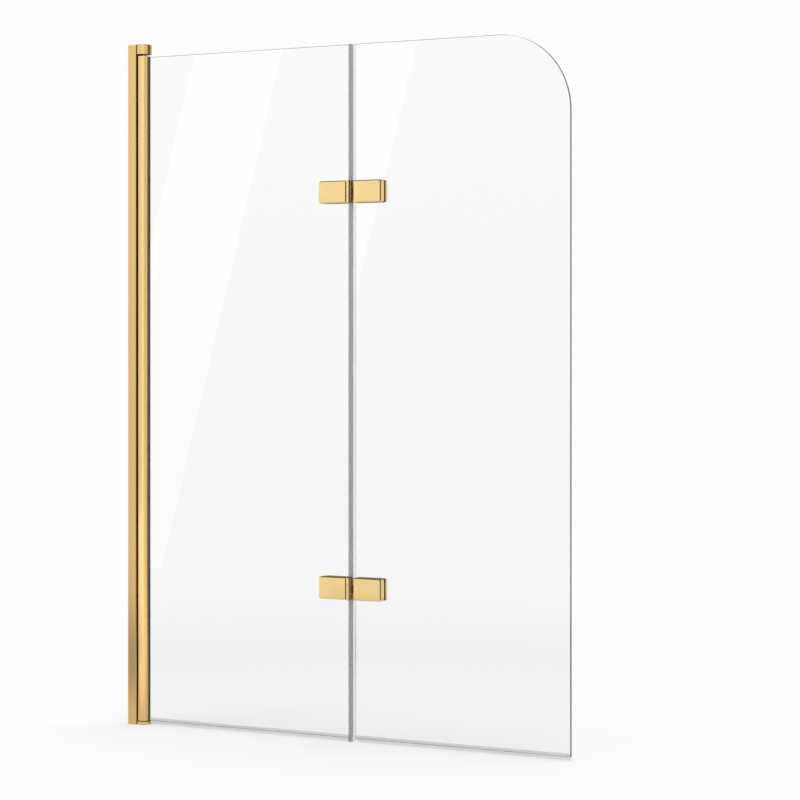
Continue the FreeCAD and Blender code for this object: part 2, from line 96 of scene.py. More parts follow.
class BathScreenSizes(bpy.types.PropertyGroup):
    """Sizes of the screen's pieces that the boxes of the solids don't give."""

    glass_arris: length("Glass arris", "Width of the ground bevel round each pane", 0.5)
    pane_corner: length("Pane corner", "Radius of the outer pane's top corner", 150.0)
    glass_hole: length("Glass hole", "Radius of a clamp hole in the glass", 7.0)
    post_wall: length("Post wall", "Wall thickness of the post", 1.8)
    post_edge: length("Post edge", "Rounding of the post's front corners", 1.9)
    seat_gap: length("Seat gap", "Gap between the tube and the seat it turns in", 1.4)
    screw_pad: length("Screw pad", "Half width of the flat pad behind the seat", 4.2)
    wiper_groove: length("Wiper groove", "Width of a wiper's groove in the seat", 2.4)
    wiper_depth: length("Wiper depth", "Depth of a wiper's groove in the seat", 1.0)
    tube_wall: length("Tube wall", "Outer wall of the pivot tube", 1.8)
    tube_bore: length("Tube bore", "Radius of the bore for the pivot bushes", 4.5)
    tube_core: length("Tube core", "Wall round the bore", 1.4)
    tube_web: length("Tube web", "Thickness of the webs inside the tube", 1.6)
    pocket_wall: length("Pocket wall", "Wall beside the glazing pocket", 1.5)
    pocket_floor: length("Pocket floor", "Metal between bore and glazing pocket", 1.7)
    bracket_edge: length("Bracket edge", "Rounding of the pivot brackets' rims", 0.8)
    block_corner: length("Block corner", "Outer corner radius of a hinge block", 4.5)
    block_inner_corner: length("Block inner corner", "Corner radius beside the joint", 1.0)
    block_edge: length("Block edge", "Rounding of a hinge block's front rim", 2.4)
    block_heel: length("Block heel", "Small bevel on a hinge block's glass side", 0.3)
    knuckle_radius: length("Knuckle radius", "Radius of the hinge barrel", 6.01)
    knuckle_edge: length("Knuckle edge", "Bevel of the knuckles' end rims", 0.3)
    hinge_pin: length("Hinge pin", "Radius of the hinge pin", 3.0)
    screw_near: length("Near screw", "Distance of the near clamp screw from the joint", 25.0)
    screw_far: length("Far screw", "Distance of the far clamp screw from the joint", 53.0)
    screw_head: length("Screw head", "Radius of a countersunk clamp screw head", 6.0)
    screw_shank: length("Screw shank", "Radius of a clamp screw", 3.0)
    seal_wall: length("Seal wall", "Wall thickness of the clear seals", 1.0)
    bulb_wall: length("Bulb wall", "Wall thickness of the joint seal's bulb", 0.8)
    fin_wall: length("Fin wall", "Thickness of a drip fin", 0.8)
    dome_round: length("Dome rounding", "Rounding of the screw domes", 2.0)
    dome_wall: length("Dome wall", "Wall thickness of the screw domes", 0.9)
    round_steps: count("Round steps", "Steps in a quarter turn of a small rounding", 6, 2, 24)
    turn_steps: count("Turn steps", "Steps in a full turn of a tube, barrel or hole", 96, 12, 256)


class Millimetres:
    """The screen's sizes in millimetres, and its numbers of steps as they are."""

    def __init__(self, context):
        self.group = context.scene.bath_screen_sizes

    def __getattr__(self, name):
        value = getattr(self.group, name)
        return value if isinstance(value, int) else value / MM


class BathScreenColours(bpy.types.PropertyGroup):
    """Colours of the screen's finishes and of the stage."""

    gold: colour("Gold", "Plated gold of the hinges and domes", (0.93, 0.68, 0.30, 1.0))
    gold_profile: colour("Profile gold", "Anodised gold of the post and tube", (0.82, 0.545, 0.215, 1.0))
    gold_streak: colour("Profile streaks", "Darker draw lines in the profile gold", (0.74, 0.48, 0.18, 1.0))
    # Painted shade: a dark gold put where shade falls, in the post's seat, the cap's groove and beside the
    # hinges' joint.
    gold_seat: colour("Seat gold", "Matt, shaded gold of the post's seat", (0.12, 0.075, 0.028, 1.0))
    aluminium: colour("Aluminium", "Mill finish of the wall rail", (0.80, 0.81, 0.82, 1.0))
    stainless: colour("Stainless", "Screws and pins", (0.66, 0.66, 0.65, 1.0))
    glass: colour("Glass", "Tint of the panes", (0.958, 0.960, 0.960, 1.0))
    glass_edge: colour("Glass edge", "Tint of the polished glass edges", (0.30, 0.33, 0.33, 1.0))
    seal: colour("Seal", "Tint of the clear seals", (0.50, 0.505, 0.51, 1.0))
    # Painted shade: the clear joint seal's front lip is tinted dark grey.
    seal_grip: colour("Seal grip", "Tint of the joint seal's front lip", (0.18, 0.182, 0.185, 1.0))
    seal_base: colour("Seal base", "Tint of the joint seal's web at the pane", (0.66, 0.664, 0.67, 1.0))
    rubber: colour("Rubber", "Glazing gasket and wipers", (0.10, 0.078, 0.046, 1.0))
    clamp_rubber: colour("Clamp rubber", "Sheets between hinge and glass", (0.05, 0.05, 0.05, 1.0))
    nylon: colour("Nylon", "Bushes and sleeves", (0.60, 0.58, 0.52, 1.0))
    floor: colour("Floor", "Floor and backdrop", (0.985, 0.985, 0.985, 1.0))


# Drawing outlines and turning them into solids

class Plane:
    """A flat drawing plane: where its coordinates go, the coordinate across it, and its axis of turning."""

    def __init__(self, place, across, axis, lie_flat):
        self.place = place
        self.across = across
        self.axis = Vector(axis)
        self.lie_flat = lie_flat

    def holds(self, item, level):
        """Whether an edge or a face lies flat at a level of the plane."""
        return all(abs(vert.co[self.across] - level) < WELD for vert in item.verts)


PLAN = Plane(lambda u, v, w: Vector((u, v, w)), 2, (0, 0, 1), Matrix.Identity(4))
FACE = Plane(lambda u, v, w: Vector((u, w, v)), 1, (0, -1, 0), Matrix.Rotation(math.pi / 2, 4, "X"))
SECTION = Plane(lambda u, v, w: Vector((w, u, v)), 0, (1, 0, 0), Matrix.Rotation(math.pi / 2, 4, "Y"))


class Outline:
    """A closed line drawn on a plane, run by run, in a bmesh of its own or beside other lines."""

    def __init__(self, plane, level, start, bm=None):
        self.bm = bmesh.new() if bm is None else bm
        self.plane = plane
        self.level = level
        self.first = self.bm.verts.new(plane.place(*start, level))
        self.last = self.first

    def line(self, *points):
        for point in points:
            made = bmesh.ops.extrude_vert_indiv(self.bm, verts=[self.last])
            self.last = made["verts"][0]
            self.last.co = self.plane.place(*point, self.level)
        return self

    def arc(self, centre, degrees, steps):
        made = bmesh.ops.spin(
            self.bm, geom=[self.last], cent=self.plane.place(*centre, self.level), axis=self.plane.axis,
            angle=math.radians(degrees), steps=steps, use_merge=False,
        )
        self.last = made["geom_last"][0]
        return self

    def close(self):
        self.bm.edges.new((self.last, self.first))

    def solid(self, depth):
        """Closes the line and pulls a solid out of it, across the plane."""
        self.close()
        return plain_solid(self.bm, self.plane.place(0, 0, depth))


def ring(bm, plane, level, centre, radius, steps):
    """A round hole or rim, as its loop of edges."""
    place = Matrix.Translation(plane.place(*centre, level)) @ plane.lie_flat
    made = bmesh.ops.create_circle(bm, cap_ends=False, radius=radius, segments=steps, matrix=place)
    return list({edge for vert in made["verts"] for edge in vert.link_edges})


def on_circle(centre, radius, degrees):
    angle = math.radians(degrees)
    return centre[0] + radius * math.cos(angle), centre[1] + radius * math.sin(angle)


def rise_turn(rise, radius):
    """The turn in degrees that lifts a point on a circle by a rise."""
    return math.degrees(math.asin(rise / radius))


def reach_turn(reach, radius):
    """The turn in degrees that leaves a point on a circle with a reach."""
    return math.degrees(math.acos(reach / radius))


def fill_outlines(bm, edges):
    """Faces inside the outer line, with the inner lines left as holes."""
    made = bmesh.ops.triangle_fill(bm, use_beauty=True, use_dissolve=False, edges=edges)
    return [item for item in made["geom"] if isinstance(item, bmesh.types.BMFace)]


def pull_solid(bm, faces, pull):
    """Pulls flat faces out into a solid."""
    made = bmesh.ops.extrude_face_region(bm, geom=faces)
    moved = [item for item in made["geom"] if isinstance(item, bmesh.types.BMVert)]
    bmesh.ops.translate(bm, vec=pull, verts=moved)
    bmesh.ops.recalc_face_normals(bm, faces=bm.faces)
    return bm


def plain_solid(bm, pull):
    """A solid from the one outline drawn in bm."""
    bmesh.ops.remove_doubles(bm, verts=bm.verts, dist=WELD)
    made = bmesh.ops.contextual_create(bm, geom=bm.edges[:])
    return pull_solid(bm, made["faces"], pull)


def holed_solid(bm, pull):
    """A solid from an outline with holes in it."""
    bmesh.ops.remove_doubles(bm, verts=bm.verts, dist=WELD)
    return pull_solid(bm, fill_outlines(bm, bm.edges[:]), pull)


def round_rims(bm, plane, levels, radius, steps, keep=None):
    """Rounds the corner edges that lie flat at some levels of a plane."""
    found = []
    for level in levels:
        for edge in bm.edges:
            middle = (edge.verts[0].co + edge.verts[1].co) / 2
            corner = plane.holds(edge, level) and edge.calc_face_angle(0.0) > CORNER_TURN
            if corner and (keep is None or keep(middle)):
                found.append(edge)
    bmesh.ops.bevel(
        bm, geom=found, offset=radius, offset_type="OFFSET", affect="EDGES", segments=steps, profile=0.5,
        material=-1, clamp_overlap=False, loop_slide=True,
    )


def drill(bm, plane, levels, points, steps):
    """Holes through a solid, each a run of rings from one flat side of it to the other."""
    rings = {}
    for level, radius in levels:
        rings[level] = [ring(bm, plane, level, point, radius, steps) for point in points]
    stops = list(rings)
    for level in (stops[0], stops[-1]):
        on_side = [face for face in bm.faces if plane.holds(face, level)]
        side = max(on_side, key=lambda face: face.calc_area())
        rim = list(side.edges)
        bmesh.ops.delete(bm, geom=[side], context="FACES_ONLY")
        fill_outlines(bm, rim + [edge for loop in rings[level] for edge in loop])
    for lower, upper in zip(stops, stops[1:]):
        for lower_ring, upper_ring in zip(rings[lower], rings[upper]):
            bmesh.ops.bridge_loops(bm, edges=lower_ring + upper_ring)
    bmesh.ops.recalc_face_normals(bm, faces=bm.faces)


def add_solid(bm, part):
    """Adds a finished solid to bm."""
    mesh = bpy.data.meshes.new("part")
    part.to_mesh(mesh)
    part.free()
    bm.from_mesh(mesh)
    bpy.data.meshes.remove(mesh)


def joined(solids):
    """One closed solid from several that overlap."""
    blanks = []
    for bm in solids:
        mesh = bpy.data.meshes.new("blank")
        bm.to_mesh(mesh)
        bm.free()
        blank = bpy.data.objects.new("blank", mesh)
        bpy.context.scene.collection.objects.link(blank)
        blanks.append(blank)
    for other in blanks[1:]:
        weld = blanks[0].modifiers.new("weld", "BOOLEAN")
        weld.operation = "UNION"
        weld.solver = "EXACT"
        weld.object = other
    depsgraph = bpy.context.evaluated_depsgraph_get()
    welded = bpy.data.meshes.new_from_object(blanks[0].evaluated_get(depsgraph))
    result = bmesh.new()
    result.from_mesh(welded)
    bpy.data.meshes.remove(welded)
    for blank in blanks:
        mesh = blank.data
        bpy.data.objects.remove(blank)
        bpy.data.meshes.remove(mesh)
    return result


def mark_faces(bm, index, chosen):
    """Gives another of a piece's finishes to the faces that a test on face and middle chooses."""
    for face in bm.faces:
        if chosen(face, face.calc_center_median()):
            face.material_index = index


def finish_piece(bm, name, body, slot, finishes, *nodes):
    """Makes the piece in the scene, in metres, and puts it in the place of its solids."""
    bmesh.ops.remove_doubles(bm, verts=bm.verts, dist=WELD)
    bmesh.ops.recalc_face_normals(bm, faces=bm.faces)
    if any(not edge.is_manifold for edge in bm.edges):
        raise RuntimeError(f"{name} isn't closed")
    bmesh.ops.scale(bm, vec=(MM, MM, MM), verts=bm.verts)
    mesh = bpy.data.meshes.new(name)
    bm.to_mesh(mesh)
    bm.free()
    mesh.shade_smooth()
    mesh.set_sharp_from_angle(angle=math.radians(SMOOTH_TURN))
    for finish in finishes:
        mesh.materials.append(finish_of(finish))
    piece = bpy.data.objects.new(name, mesh)
    bpy.context.scene.collection.objects.link(piece)
    even = piece.modifiers.new("even shading", "WEIGHTED_NORMAL")
    even.mode = "FACE_AREA"
    even.weight = EVEN_WEIGHT
    even.keep_sharp = True
    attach(piece, body)
    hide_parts(*nodes)
    return piece


# Finishes

FINISH_SUFFIX = "_finish"
# Where a mix node keeps its two colours and the colour that it makes of them.
MIX_FIRST = 6
MIX_SECOND = 7
MIX_RESULT = 2
# Heights in metres between which the painted shade at the panes' foot fades out.
FADE_BOTTOM = 0.1
FADE_TOP = 1.1


def add_node(tree, kind, *values, operation=None, **named):
    """A node whose inputs, by place or by name, are linked to sockets or set to plain values."""
    node = tree.nodes.new(kind)
    if operation:
        node.operation = operation
    labelled = [(label.replace("_", " "), value) for label, value in named.items()]
    for place, value in [*enumerate(values), *labelled]:
        if isinstance(value, bpy.types.NodeSocket):
            tree.links.new(value, node.inputs[place])
        else:
            node.inputs[place].default_value = value
    return node


def spread(tree, value, low, high, new_low, new_high):
    """A value mapped from one range to another."""
    node = add_node(
        tree, "ShaderNodeMapRange",
        Value=value, From_Min=low, From_Max=high, To_Min=new_low, To_Max=new_high,
    )
    return node.outputs["Result"]


def noise_effect(name, **outputs):
    """A shared node group of noises on object coordinates that its Size stretches.

    An output has a noise's scale, detail and roughness and, where these are given, the ends of the
    range that is spread from 0 to 1.
    """
    group = bpy.data.node_groups.get(name)
    if group:
        return group
    group = bpy.data.node_groups.new(name, "ShaderNodeTree")
    group.interface.new_socket(name="Size", in_out="INPUT", socket_type="NodeSocketVector")
    for label in outputs:
        group.interface.new_socket(name=label, in_out="OUTPUT", socket_type="NodeSocketFloat")
    size = add_node(group, "NodeGroupInput").outputs["Size"]
    end = add_node(group, "NodeGroupOutput")
    place = add_node(group, "ShaderNodeTexCoord").outputs["Object"]
    place = add_node(group, "ShaderNodeVectorMath", place, size, operation="MULTIPLY").outputs["Vector"]
    for label, (scale, detail, roughness, *ends) in outputs.items():
        noise = add_node(
            group, "ShaderNodeTexNoise", Vector=place, Scale=scale, Detail=detail, Roughness=roughness
        )
        value = noise.outputs["Fac"]
        if ends:
            value = spread(group, value, *ends, 0.0, 1.0)
        group.links.new(value, end.inputs[label])
    return group


def draw_lines():
    """Fine lines along an extrusion, left by its die."""
    return noise_effect("Draw lines", Tone=(1.0, 3.0, 0.6, 0.3, 0.7), Height=(1.0, 3.0, 0.6))


def plating_cloud():
    """Slow changes of tone and fine polishing marks on plated metal."""
    return noise_effect("Plating cloud", Tone=(1.0, 2.0, 0.5, 0.35, 0.65), Polish=(45.0, 4.0, 0.65, 0.3, 0.7))


def moulded_grain():
    """Fine pebbled skin of moulded rubber and plastic."""
    return noise_effect("Moulded grain", Tone=(0.04, 2.0, 0.5, 0.3, 0.7), Height=(1.0, 2.0, 0.5))


def wiped_film():
    """The faint film that wiping leaves on a clear surface."""
    return noise_effect("Wiped film", Film=(2.0, 5.0, 0.6, 0.35, 0.75))


def painted_foot_shade():
    """Mask of painted shade: 1 at the foot of the screen, falling to 0 near its top."""
    group = bpy.data.node_groups.new("Height fade", "ShaderNodeTree")
    group.interface.new_socket(name="Low", in_out="OUTPUT", socket_type="NodeSocketFloat")
    place = add_node(group, "ShaderNodeTexCoord").outputs["Object"]
    height = add_node(group, "ShaderNodeSeparateXYZ", place).outputs["Z"]
    add_node(group, "NodeGroupOutput", Low=spread(group, height, FADE_BOTTOM, FADE_TOP, 1.0, 0.0))
    return group


class Finish:
    """A material built round one Principled shader."""

    def __init__(self, name, **plain):
        material = bpy.data.materials.new(name + FINISH_SUFFIX)
        material.use_nodes = True
        self.tree = material.node_tree
        self.shader = self.tree.nodes["Principled BSDF"]
        for label, value in plain.items():
            self.shader.inputs[label.replace("_", " ")].default_value = value

    def effect(self, group, *size):
        node = add_node(self.tree, "ShaderNodeGroup")
        node.node_tree = group
        if size:
            node.inputs["Size"].default_value = size
        return node.outputs

    def two_tone(self, mask, first, second):
        mix = add_node(self.tree, "ShaderNodeMix")
        mix.data_type = "RGBA"
        mix.inputs[MIX_FIRST].default_value = first
        mix.inputs[MIX_SECOND].default_value = second
        self.tree.links.new(mask, mix.inputs[0])
        self.tree.links.new(mix.outputs[MIX_RESULT], self.shader.inputs["Base Color"])

    def roughness(self, mask, low, high):
        value = spread(self.tree, mask, 0.0, 1.0, low, high)
        self.tree.links.new(value, self.shader.inputs["Roughness"])

    def relief(self, height, depth_mm, strength):
        bump = add_node(self.tree, "ShaderNodeBump", Strength=strength, Distance=depth_mm * MM, Height=height)
        self.tree.links.new(bump.outputs["Normal"], self.shader.inputs["Normal"])


def shade(tint, share):
    """A colour scaled by a share, opaque."""
    return (tint[0] * share, tint[1] * share, tint[2] * share, 1.0)


def gold_profile_finish(colours):
    finish = Finish("gold_profile", Metallic=1.0, Anisotropic=0.35, Coat_Weight=0.6, Coat_Roughness=0.1)
    lines = finish.effect(draw_lines(), 650.0, 650.0, 1.2)
    finish.two_tone(lines["Tone"], colours.gold_streak, colours.gold_profile)
    finish.roughness(lines["Tone"], 0.24, 0.17)
    finish.relief(lines["Height"], 0.02, 0.25)


# Painted shade: dark matt gold for faces in the seat, in the groove and beside the joint.
def painted_shade_gold_finish(colours):
    finish = Finish("gold_seat", Metallic=1.0)
    lines = finish.effect(draw_lines(), 650.0, 650.0, 1.2)
    finish.two_tone(lines["Tone"], colours.gold_seat, shade(colours.gold_seat, 1.3))
    finish.roughness(lines["Tone"], 0.5, 0.4)


def gold_fitting_finish(colours):
    finish = Finish("gold_fitting", Metallic=1.0)
    cloud = finish.effect(plating_cloud(), 24.0, 24.0, 24.0)
    finish.two_tone(cloud["Tone"], shade(colours.gold, 0.96), colours.gold)
    finish.roughness(cloud["Polish"], 0.06, 0.11)
    finish.relief(cloud["Polish"], 0.004, 0.2)


def gold_cap_finish(colours):
    # The near-black edge tint paints shade on the cap's limb, where its reflection grazes.
    rim = shade(colours.gold_profile, 0.08)
    finish = Finish("gold_cap", Metallic=1.0, Coat_Weight=0.1, Coat_Roughness=0.1, Specular_Tint=rim)
    cloud = finish.effect(plating_cloud(), 40.0, 40.0, 40.0)
    finish.two_tone(cloud["Tone"], colours.gold_streak, colours.gold_profile)
    finish.roughness(cloud["Polish"], 0.2, 0.27)
    finish.relief(cloud["Polish"], 0.006, 0.2)


def gold_plastic_finish(colours):
    finish = Finish("gold_plastic", Metallic=0.85)
    grain = finish.effect(moulded_grain(), 1100.0, 1100.0, 1100.0)
    finish.two_tone(grain["Tone"], shade(colours.gold, 0.9), colours.gold)
    finish.roughness(grain["Height"], 0.26, 0.38)
    finish.relief(grain["Height"], 0.02, 0.2)


def mill_aluminium_finish(colours):
    finish = Finish("mill_aluminium", Metallic=1.0, Anisotropic=0.5)
    lines = finish.effect(draw_lines(), 900.0, 900.0, 2.0)
    finish.two_tone(lines["Tone"], shade(colours.aluminium, 0.86), colours.aluminium)
    finish.roughness(lines["Tone"], 0.46, 0.34)
    finish.relief(lines["Height"], 0.04, 0.35)


def stainless_finish(colours):
    finish = Finish("stainless", Metallic=1.0)
    cloud = finish.effect(plating_cloud(), 60.0, 60.0, 60.0)
    finish.two_tone(cloud["Polish"], shade(colours.stainless, 0.88), colours.stainless)
    finish.roughness(cloud["Polish"], 0.22, 0.34)
    finish.relief(cloud["Polish"], 0.01, 0.25)


def clear_glass_finish(colours):
    finish = Finish("clear_glass", Transmission_Weight=1.0, IOR=1.5, Metallic=0.0)
    fade = finish.effect(painted_foot_shade())
    film = finish.effect(wiped_film(), 3.0, 3.0, 1.2)
    # The panes are painted darker towards their foot: painted shade.
    finish.two_tone(fade["Low"], colours.glass, shade(colours.glass, 0.968))
    finish.roughness(film["Film"], 0.0, 0.012)


def glass_edge_finish(colours):
    finish = Finish("glass_edge", Transmission_Weight=1.0, IOR=1.5, Metallic=0.0)
    lines = finish.effect(draw_lines(), 500.0, 500.0, 40.0)
    finish.two_tone(lines["Tone"], colours.glass_edge, shade(colours.glass_edge, 0.9))
    finish.roughness(lines["Tone"], 0.08, 0.16)


def pvc_finishes(colours):
    """The drip strips' clear plastic, then the bulb, the front lip in painted shade and the web of the joint
    seal.
    """
    for name, tint, cover in (
        ("clear_pvc", colours.seal, 0.17),
        ("bulb_pvc", colours.seal, 0.09),
        ("grip_pvc", colours.seal_grip, 0.46),
        ("base_pvc", colours.seal_base, 0.75),
    ):
        finish = Finish(name, Alpha=cover, IOR=1.45, Metallic=0.0)
        film = finish.effect(wiped_film(), 40.0, 40.0, 6.0)
        finish.two_tone(film["Film"], tint, shade(tint, 0.92))
        finish.roughness(film["Film"], 0.12, 0.24)


def rubber_finishes(colours):
    for name, tint in (("dark_rubber", colours.rubber), ("clamp_rubber", colours.clamp_rubber)):
        finish = Finish(name, Metallic=0.0, Specular_IOR_Level=0.35)
        grain = finish.effect(moulded_grain(), 800.0, 800.0, 800.0)
        finish.two_tone(grain["Tone"], tint, shade(tint, 1.5))
        finish.roughness(grain["Height"], 0.55, 0.8)
        finish.relief(grain["Height"], 0.05, 0.4)


def nylon_finish(colours):
    finish = Finish("white_nylon", Metallic=0.0, Subsurface_Weight=0.1)
    grain = finish.effect(moulded_grain(), 1000.0, 1000.0, 1000.0)
    finish.two_tone(grain["Tone"], colours.nylon, shade(colours.nylon, 0.92))
    finish.roughness(grain["Height"], 0.36, 0.5)
    finish.relief(grain["Height"], 0.02, 0.25)


FINISHES = (
    gold_profile_finish, painted_shade_gold_finish, gold_fitting_finish, gold_cap_finish, gold_plastic_finish,
    mill_aluminium_finish, stainless_finish, clear_glass_finish, glass_edge_finish, pvc_finishes,
    rubber_finishes, nylon_finish,
)


def finish_of(slot):
    found = bpy.data.materials.get(slot + FINISH_SUFFIX)
    if found is None:
        raise RuntimeError(f"the finishes come first: {slot} isn't made yet")
    return found


class BATHSCREEN_OT_finishes(bpy.types.Operator):
    """Make the finishes and put them on the solids that stay in view"""

    bl_idname = "bathscreen.finishes"
    bl_label = "Finishes"

    def execute(self, context):
        for make in FINISHES:
            make(context.scene.bath_screen_colours)
        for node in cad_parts.values():
            for place in node.material_slots:
                place.material = finish_of(place.material.name.split(".")[0])
        return {"FINISHED"}


# Sizes read from the solids

class TubePlace:
    """Axis, radius and height of the pivot tube."""

    def __init__(self):
        low, high = node_box("pivot_tube")
        self.radius = (high.y - low.y) / 2
        self.axis = (low.x + self.radius, 0.0)
        self.bottom = low.z
        self.top = high.z


class JointPlace:
    """Where the two panes meet."""

    def __init__(self):
        inner_low, inner_high = node_box("inner_glass")
        self.inner_edge = inner_high.x
        self.x = (self.inner_edge + node_box("outer_glass")[0].x) / 2
        self.glass_half = (inner_high.y - inner_low.y) / 2
        self.glass_bottom = inner_low.z

    def span(self, node):
        """How near to the joint and how far from it a solid reaches."""
        low, high = node_box(node)
        return sorted((abs(low.x - self.x), abs(high.x - self.x)))


def hinge_heights(place):
    """Middle of a hinge, and half its height."""
    low, high = node_box(f"{place}_inner_block")
    return (low.z + high.z) / 2, (high.z - low.z) / 2


# Wall post and pivot

WIPER_ANGLE = 38.0
WEB_ANGLE = 125.0
BRACKET_GAP = 0.1
CHEEK_LAP = 1.6
GROOVE_AHEAD = 0.4
GROOVE_WIDTH = 2.6
GROOVE_DEPTH = 1.8
FOOT_BEVEL = 0.25
BEVEL_STEPS = 2


def post_solid(sizes):
    """A flat-sided channel with a round seat in its front, the seat in the second finish, painted shade."""
    low, high = node_box("post_profile")
    tube = TubePlace()
    axis = tube.axis
    seat = tube.radius + sizes.seat_gap
    edge = sizes.post_edge
    pad = sizes.screw_pad
    half = high.y
    inner = half - sizes.post_wall
    outer = seat + sizes.post_wall
    lip = reach_turn(axis[0] - high.x, seat)
    groove_half = sizes.wiper_groove / 2
    groove_turn = rise_turn(groove_half, seat)
    lip_arc = WIPER_ANGLE + groove_turn - lip
    wall_turn = rise_turn(inner, outer)
    pad_turn = rise_turn(pad, outer)
    pad_back = axis[0] - outer
    short = sizes.turn_steps // 12

    def groove(line, middle):
        across = on_circle((0, 0), groove_half, middle - 90)
        floor = on_circle(axis, seat + sizes.wiper_depth, middle)
        line.line((floor[0] - across[0], floor[1] - across[1]))
        line.line((floor[0] + across[0], floor[1] + across[1]))
        line.line(on_circle(axis, seat, middle - groove_turn))

    line = Outline(PLAN, low.z, (low.x, -half))
    line.line((high.x - edge, -half)).arc((high.x - edge, edge - half), 90, sizes.round_steps)
    line.line(on_circle(axis, seat, 180 + lip)).arc(axis, lip_arc, short)
    groove(line, 180 + WIPER_ANGLE)
    line.arc(axis, -2 * (WIPER_ANGLE - groove_turn), sizes.turn_steps // 4)
    groove(line, 180 - WIPER_ANGLE)
    line.arc(axis, lip_arc, short)
    line.line((high.x, half - edge)).arc((high.x - edge, half - edge), 90, sizes.round_steps)
    line.line((low.x, half), (low.x, inner), on_circle(axis, outer, 180 - wall_turn))
    line.arc(axis, wall_turn - pad_turn, short)
    line.line((pad_back, pad), (pad_back, -pad), on_circle(axis, outer, 180 + pad_turn))
    line.arc(axis, wall_turn - pad_turn, short)
    line.line((low.x, -inner))
    bm = line.solid(high.z - low.z)
    reach = seat + sizes.wiper_depth + WELD

    # Faces in the seat take the dark gold that paints their shade.
    def in_painted_shade_seat(face, spot):
        return math.hypot(spot.x - axis[0], spot.y) < reach and abs(face.normal.z) < LOOKS

    mark_faces(bm, 1, in_painted_shade_seat)
    return bm


def tube_solid(sizes):
    """A round tube with a bore, three chambers and the glazing pocket."""
    tube = TubePlace()
    axis = tube.axis
    wall_in = tube.radius - sizes.tube_wall
    bore = sizes.tube_bore
    core = bore + sizes.tube_core
    pocket = node_box("glazing_gasket")[1].y
    pocket_out = pocket + sizes.pocket_wall
    pocket_back = axis[0] + bore + sizes.pocket_floor
    web_half = sizes.tube_web / 2
    steps = sizes.turn_steps
    slot_turn = rise_turn(pocket, tube.radius)

    line = Outline(PLAN, tube.bottom, on_circle(axis, tube.radius, slot_turn))
    line.arc(axis, 360 - 2 * slot_turn, steps)
    line.line((pocket_back, -pocket), (pocket_back, pocket))
    line.close()
    bm = line.bm
    ring(bm, PLAN, tube.bottom, axis, bore, steps // 2)

    near_in = rise_turn(pocket_out, wall_in)
    near_core = rise_turn(pocket_out, core)
    web_in = rise_turn(web_half, wall_in)
    web_core = rise_turn(web_half, core)
    far_web = 360 - WEB_ANGLE
    chambers = (
        (near_in, WEB_ANGLE - web_in, WEB_ANGLE - web_core, near_core),
        (WEB_ANGLE + web_in, far_web - web_in, far_web - web_core, WEB_ANGLE + web_core),
        (far_web + web_in, 360 - near_in, 360 - near_core, far_web + web_core),
    )
    for wall_start, wall_end, core_start, core_end in chambers:
        line = Outline(PLAN, tube.bottom, on_circle(axis, wall_in, wall_start), bm)
        line.arc(axis, wall_end - wall_start, steps // 4)
        line.line(on_circle(axis, core, core_start))
        line.arc(axis, core_end - core_start, steps // 6)
        line.close()
    return holed_solid(bm, (0, 0, tube.top - tube.bottom))


class BATHSCREEN_OT_post(bpy.types.Operator):
    """Build the wall post with the seat that the tube turns in"""

    bl_idname = "bathscreen.post"
    bl_label = "Wall Post"

    def execute(self, context):
        bm = post_solid(Millimetres(context))
        # The second finish paints shade in the seat.
        gold = ("gold_profile", "gold_seat")
        finish_piece(bm, "wall_post", "wall_frame", "gold_profile", gold, "post_profile")
        return {"FINISHED"}


class BATHSCREEN_OT_tube(bpy.types.Operator):
    """Build the round pivot tube with its glazing pocket"""

    bl_idname = "bathscreen.tube"
    bl_label = "Pivot Tube"

    def execute(self, context):
        bm = tube_solid(Millimetres(context))
        finish_piece(bm, "swing_tube", "inner_leaf", "gold_profile", ("gold_profile",), "pivot_tube")
        return {"FINISHED"}


def top_bracket_solid(sizes):
    """A round cap with cheeks beside the post, and a groove where the two meet, its faces in painted shade.
    """
    low, high = node_box("top_bracket")
    post_high = node_box("post_profile")[1]
    tube = TubePlace()
    axis = tube.axis
    radius = high.y
    seat = tube.radius + sizes.seat_gap - BRACKET_GAP
    lip_x = post_high.x + BRACKET_GAP
    lip_y = post_high.y + BRACKET_GAP
    lip_turn = reach_turn(axis[0] - lip_x, seat)
    start = post_high.x + GROOVE_AHEAD
    end = start + GROOVE_WIDTH
    floor = radius - GROOVE_DEPTH
    cheek_end = post_high.x - CHEEK_LAP
    side = [(end, radius), (end, floor), (start, floor), (start, radius)]
    side += [(cheek_end, radius), (cheek_end, lip_y), (lip_x, lip_y)]
    line = Outline(PLAN, low.z, (axis[0], -radius))
    line.arc(axis, 180, sizes.turn_steps // 2)
    line.line(*side, on_circle(axis, seat, 180 - lip_turn))
    line.arc(axis, 2 * lip_turn, sizes.turn_steps // 3)
    line.line(*[(x, -y) for x, y in reversed(side)])
    bm = line.solid(high.z - low.z)

    def outside(point):
        return point.x >= axis[0] - WELD or abs(abs(point.y) - radius) < WELD

    # Faces in the groove take the dark gold that paints their shade.
    def in_painted_shade_groove(face, spot):
        along = start - WELD < spot.x < end + WELD
        return along and floor - WELD < abs(spot.y) < radius - WELD and abs(face.normal.z) < LOOKS

    round_rims(bm, PLAN, (low.z, high.z), sizes.bracket_edge, sizes.round_steps, outside)
    mark_faces(bm, 1, in_painted_shade_groove)
    return bm


def bottom_bracket_solid(sizes):
    low, high = node_box("bottom_bracket")
    bm = bmesh.new()
    ring(bm, PLAN, low.z, TubePlace().axis, high.y, sizes.turn_steps)
    plain_solid(bm, (0, 0, high.z - low.z))
    round_rims(bm, PLAN, (high.z,), sizes.bracket_edge, sizes.round_steps)
    round_rims(bm, PLAN, (low.z,), FOOT_BEVEL, BEVEL_STEPS)
    return bm


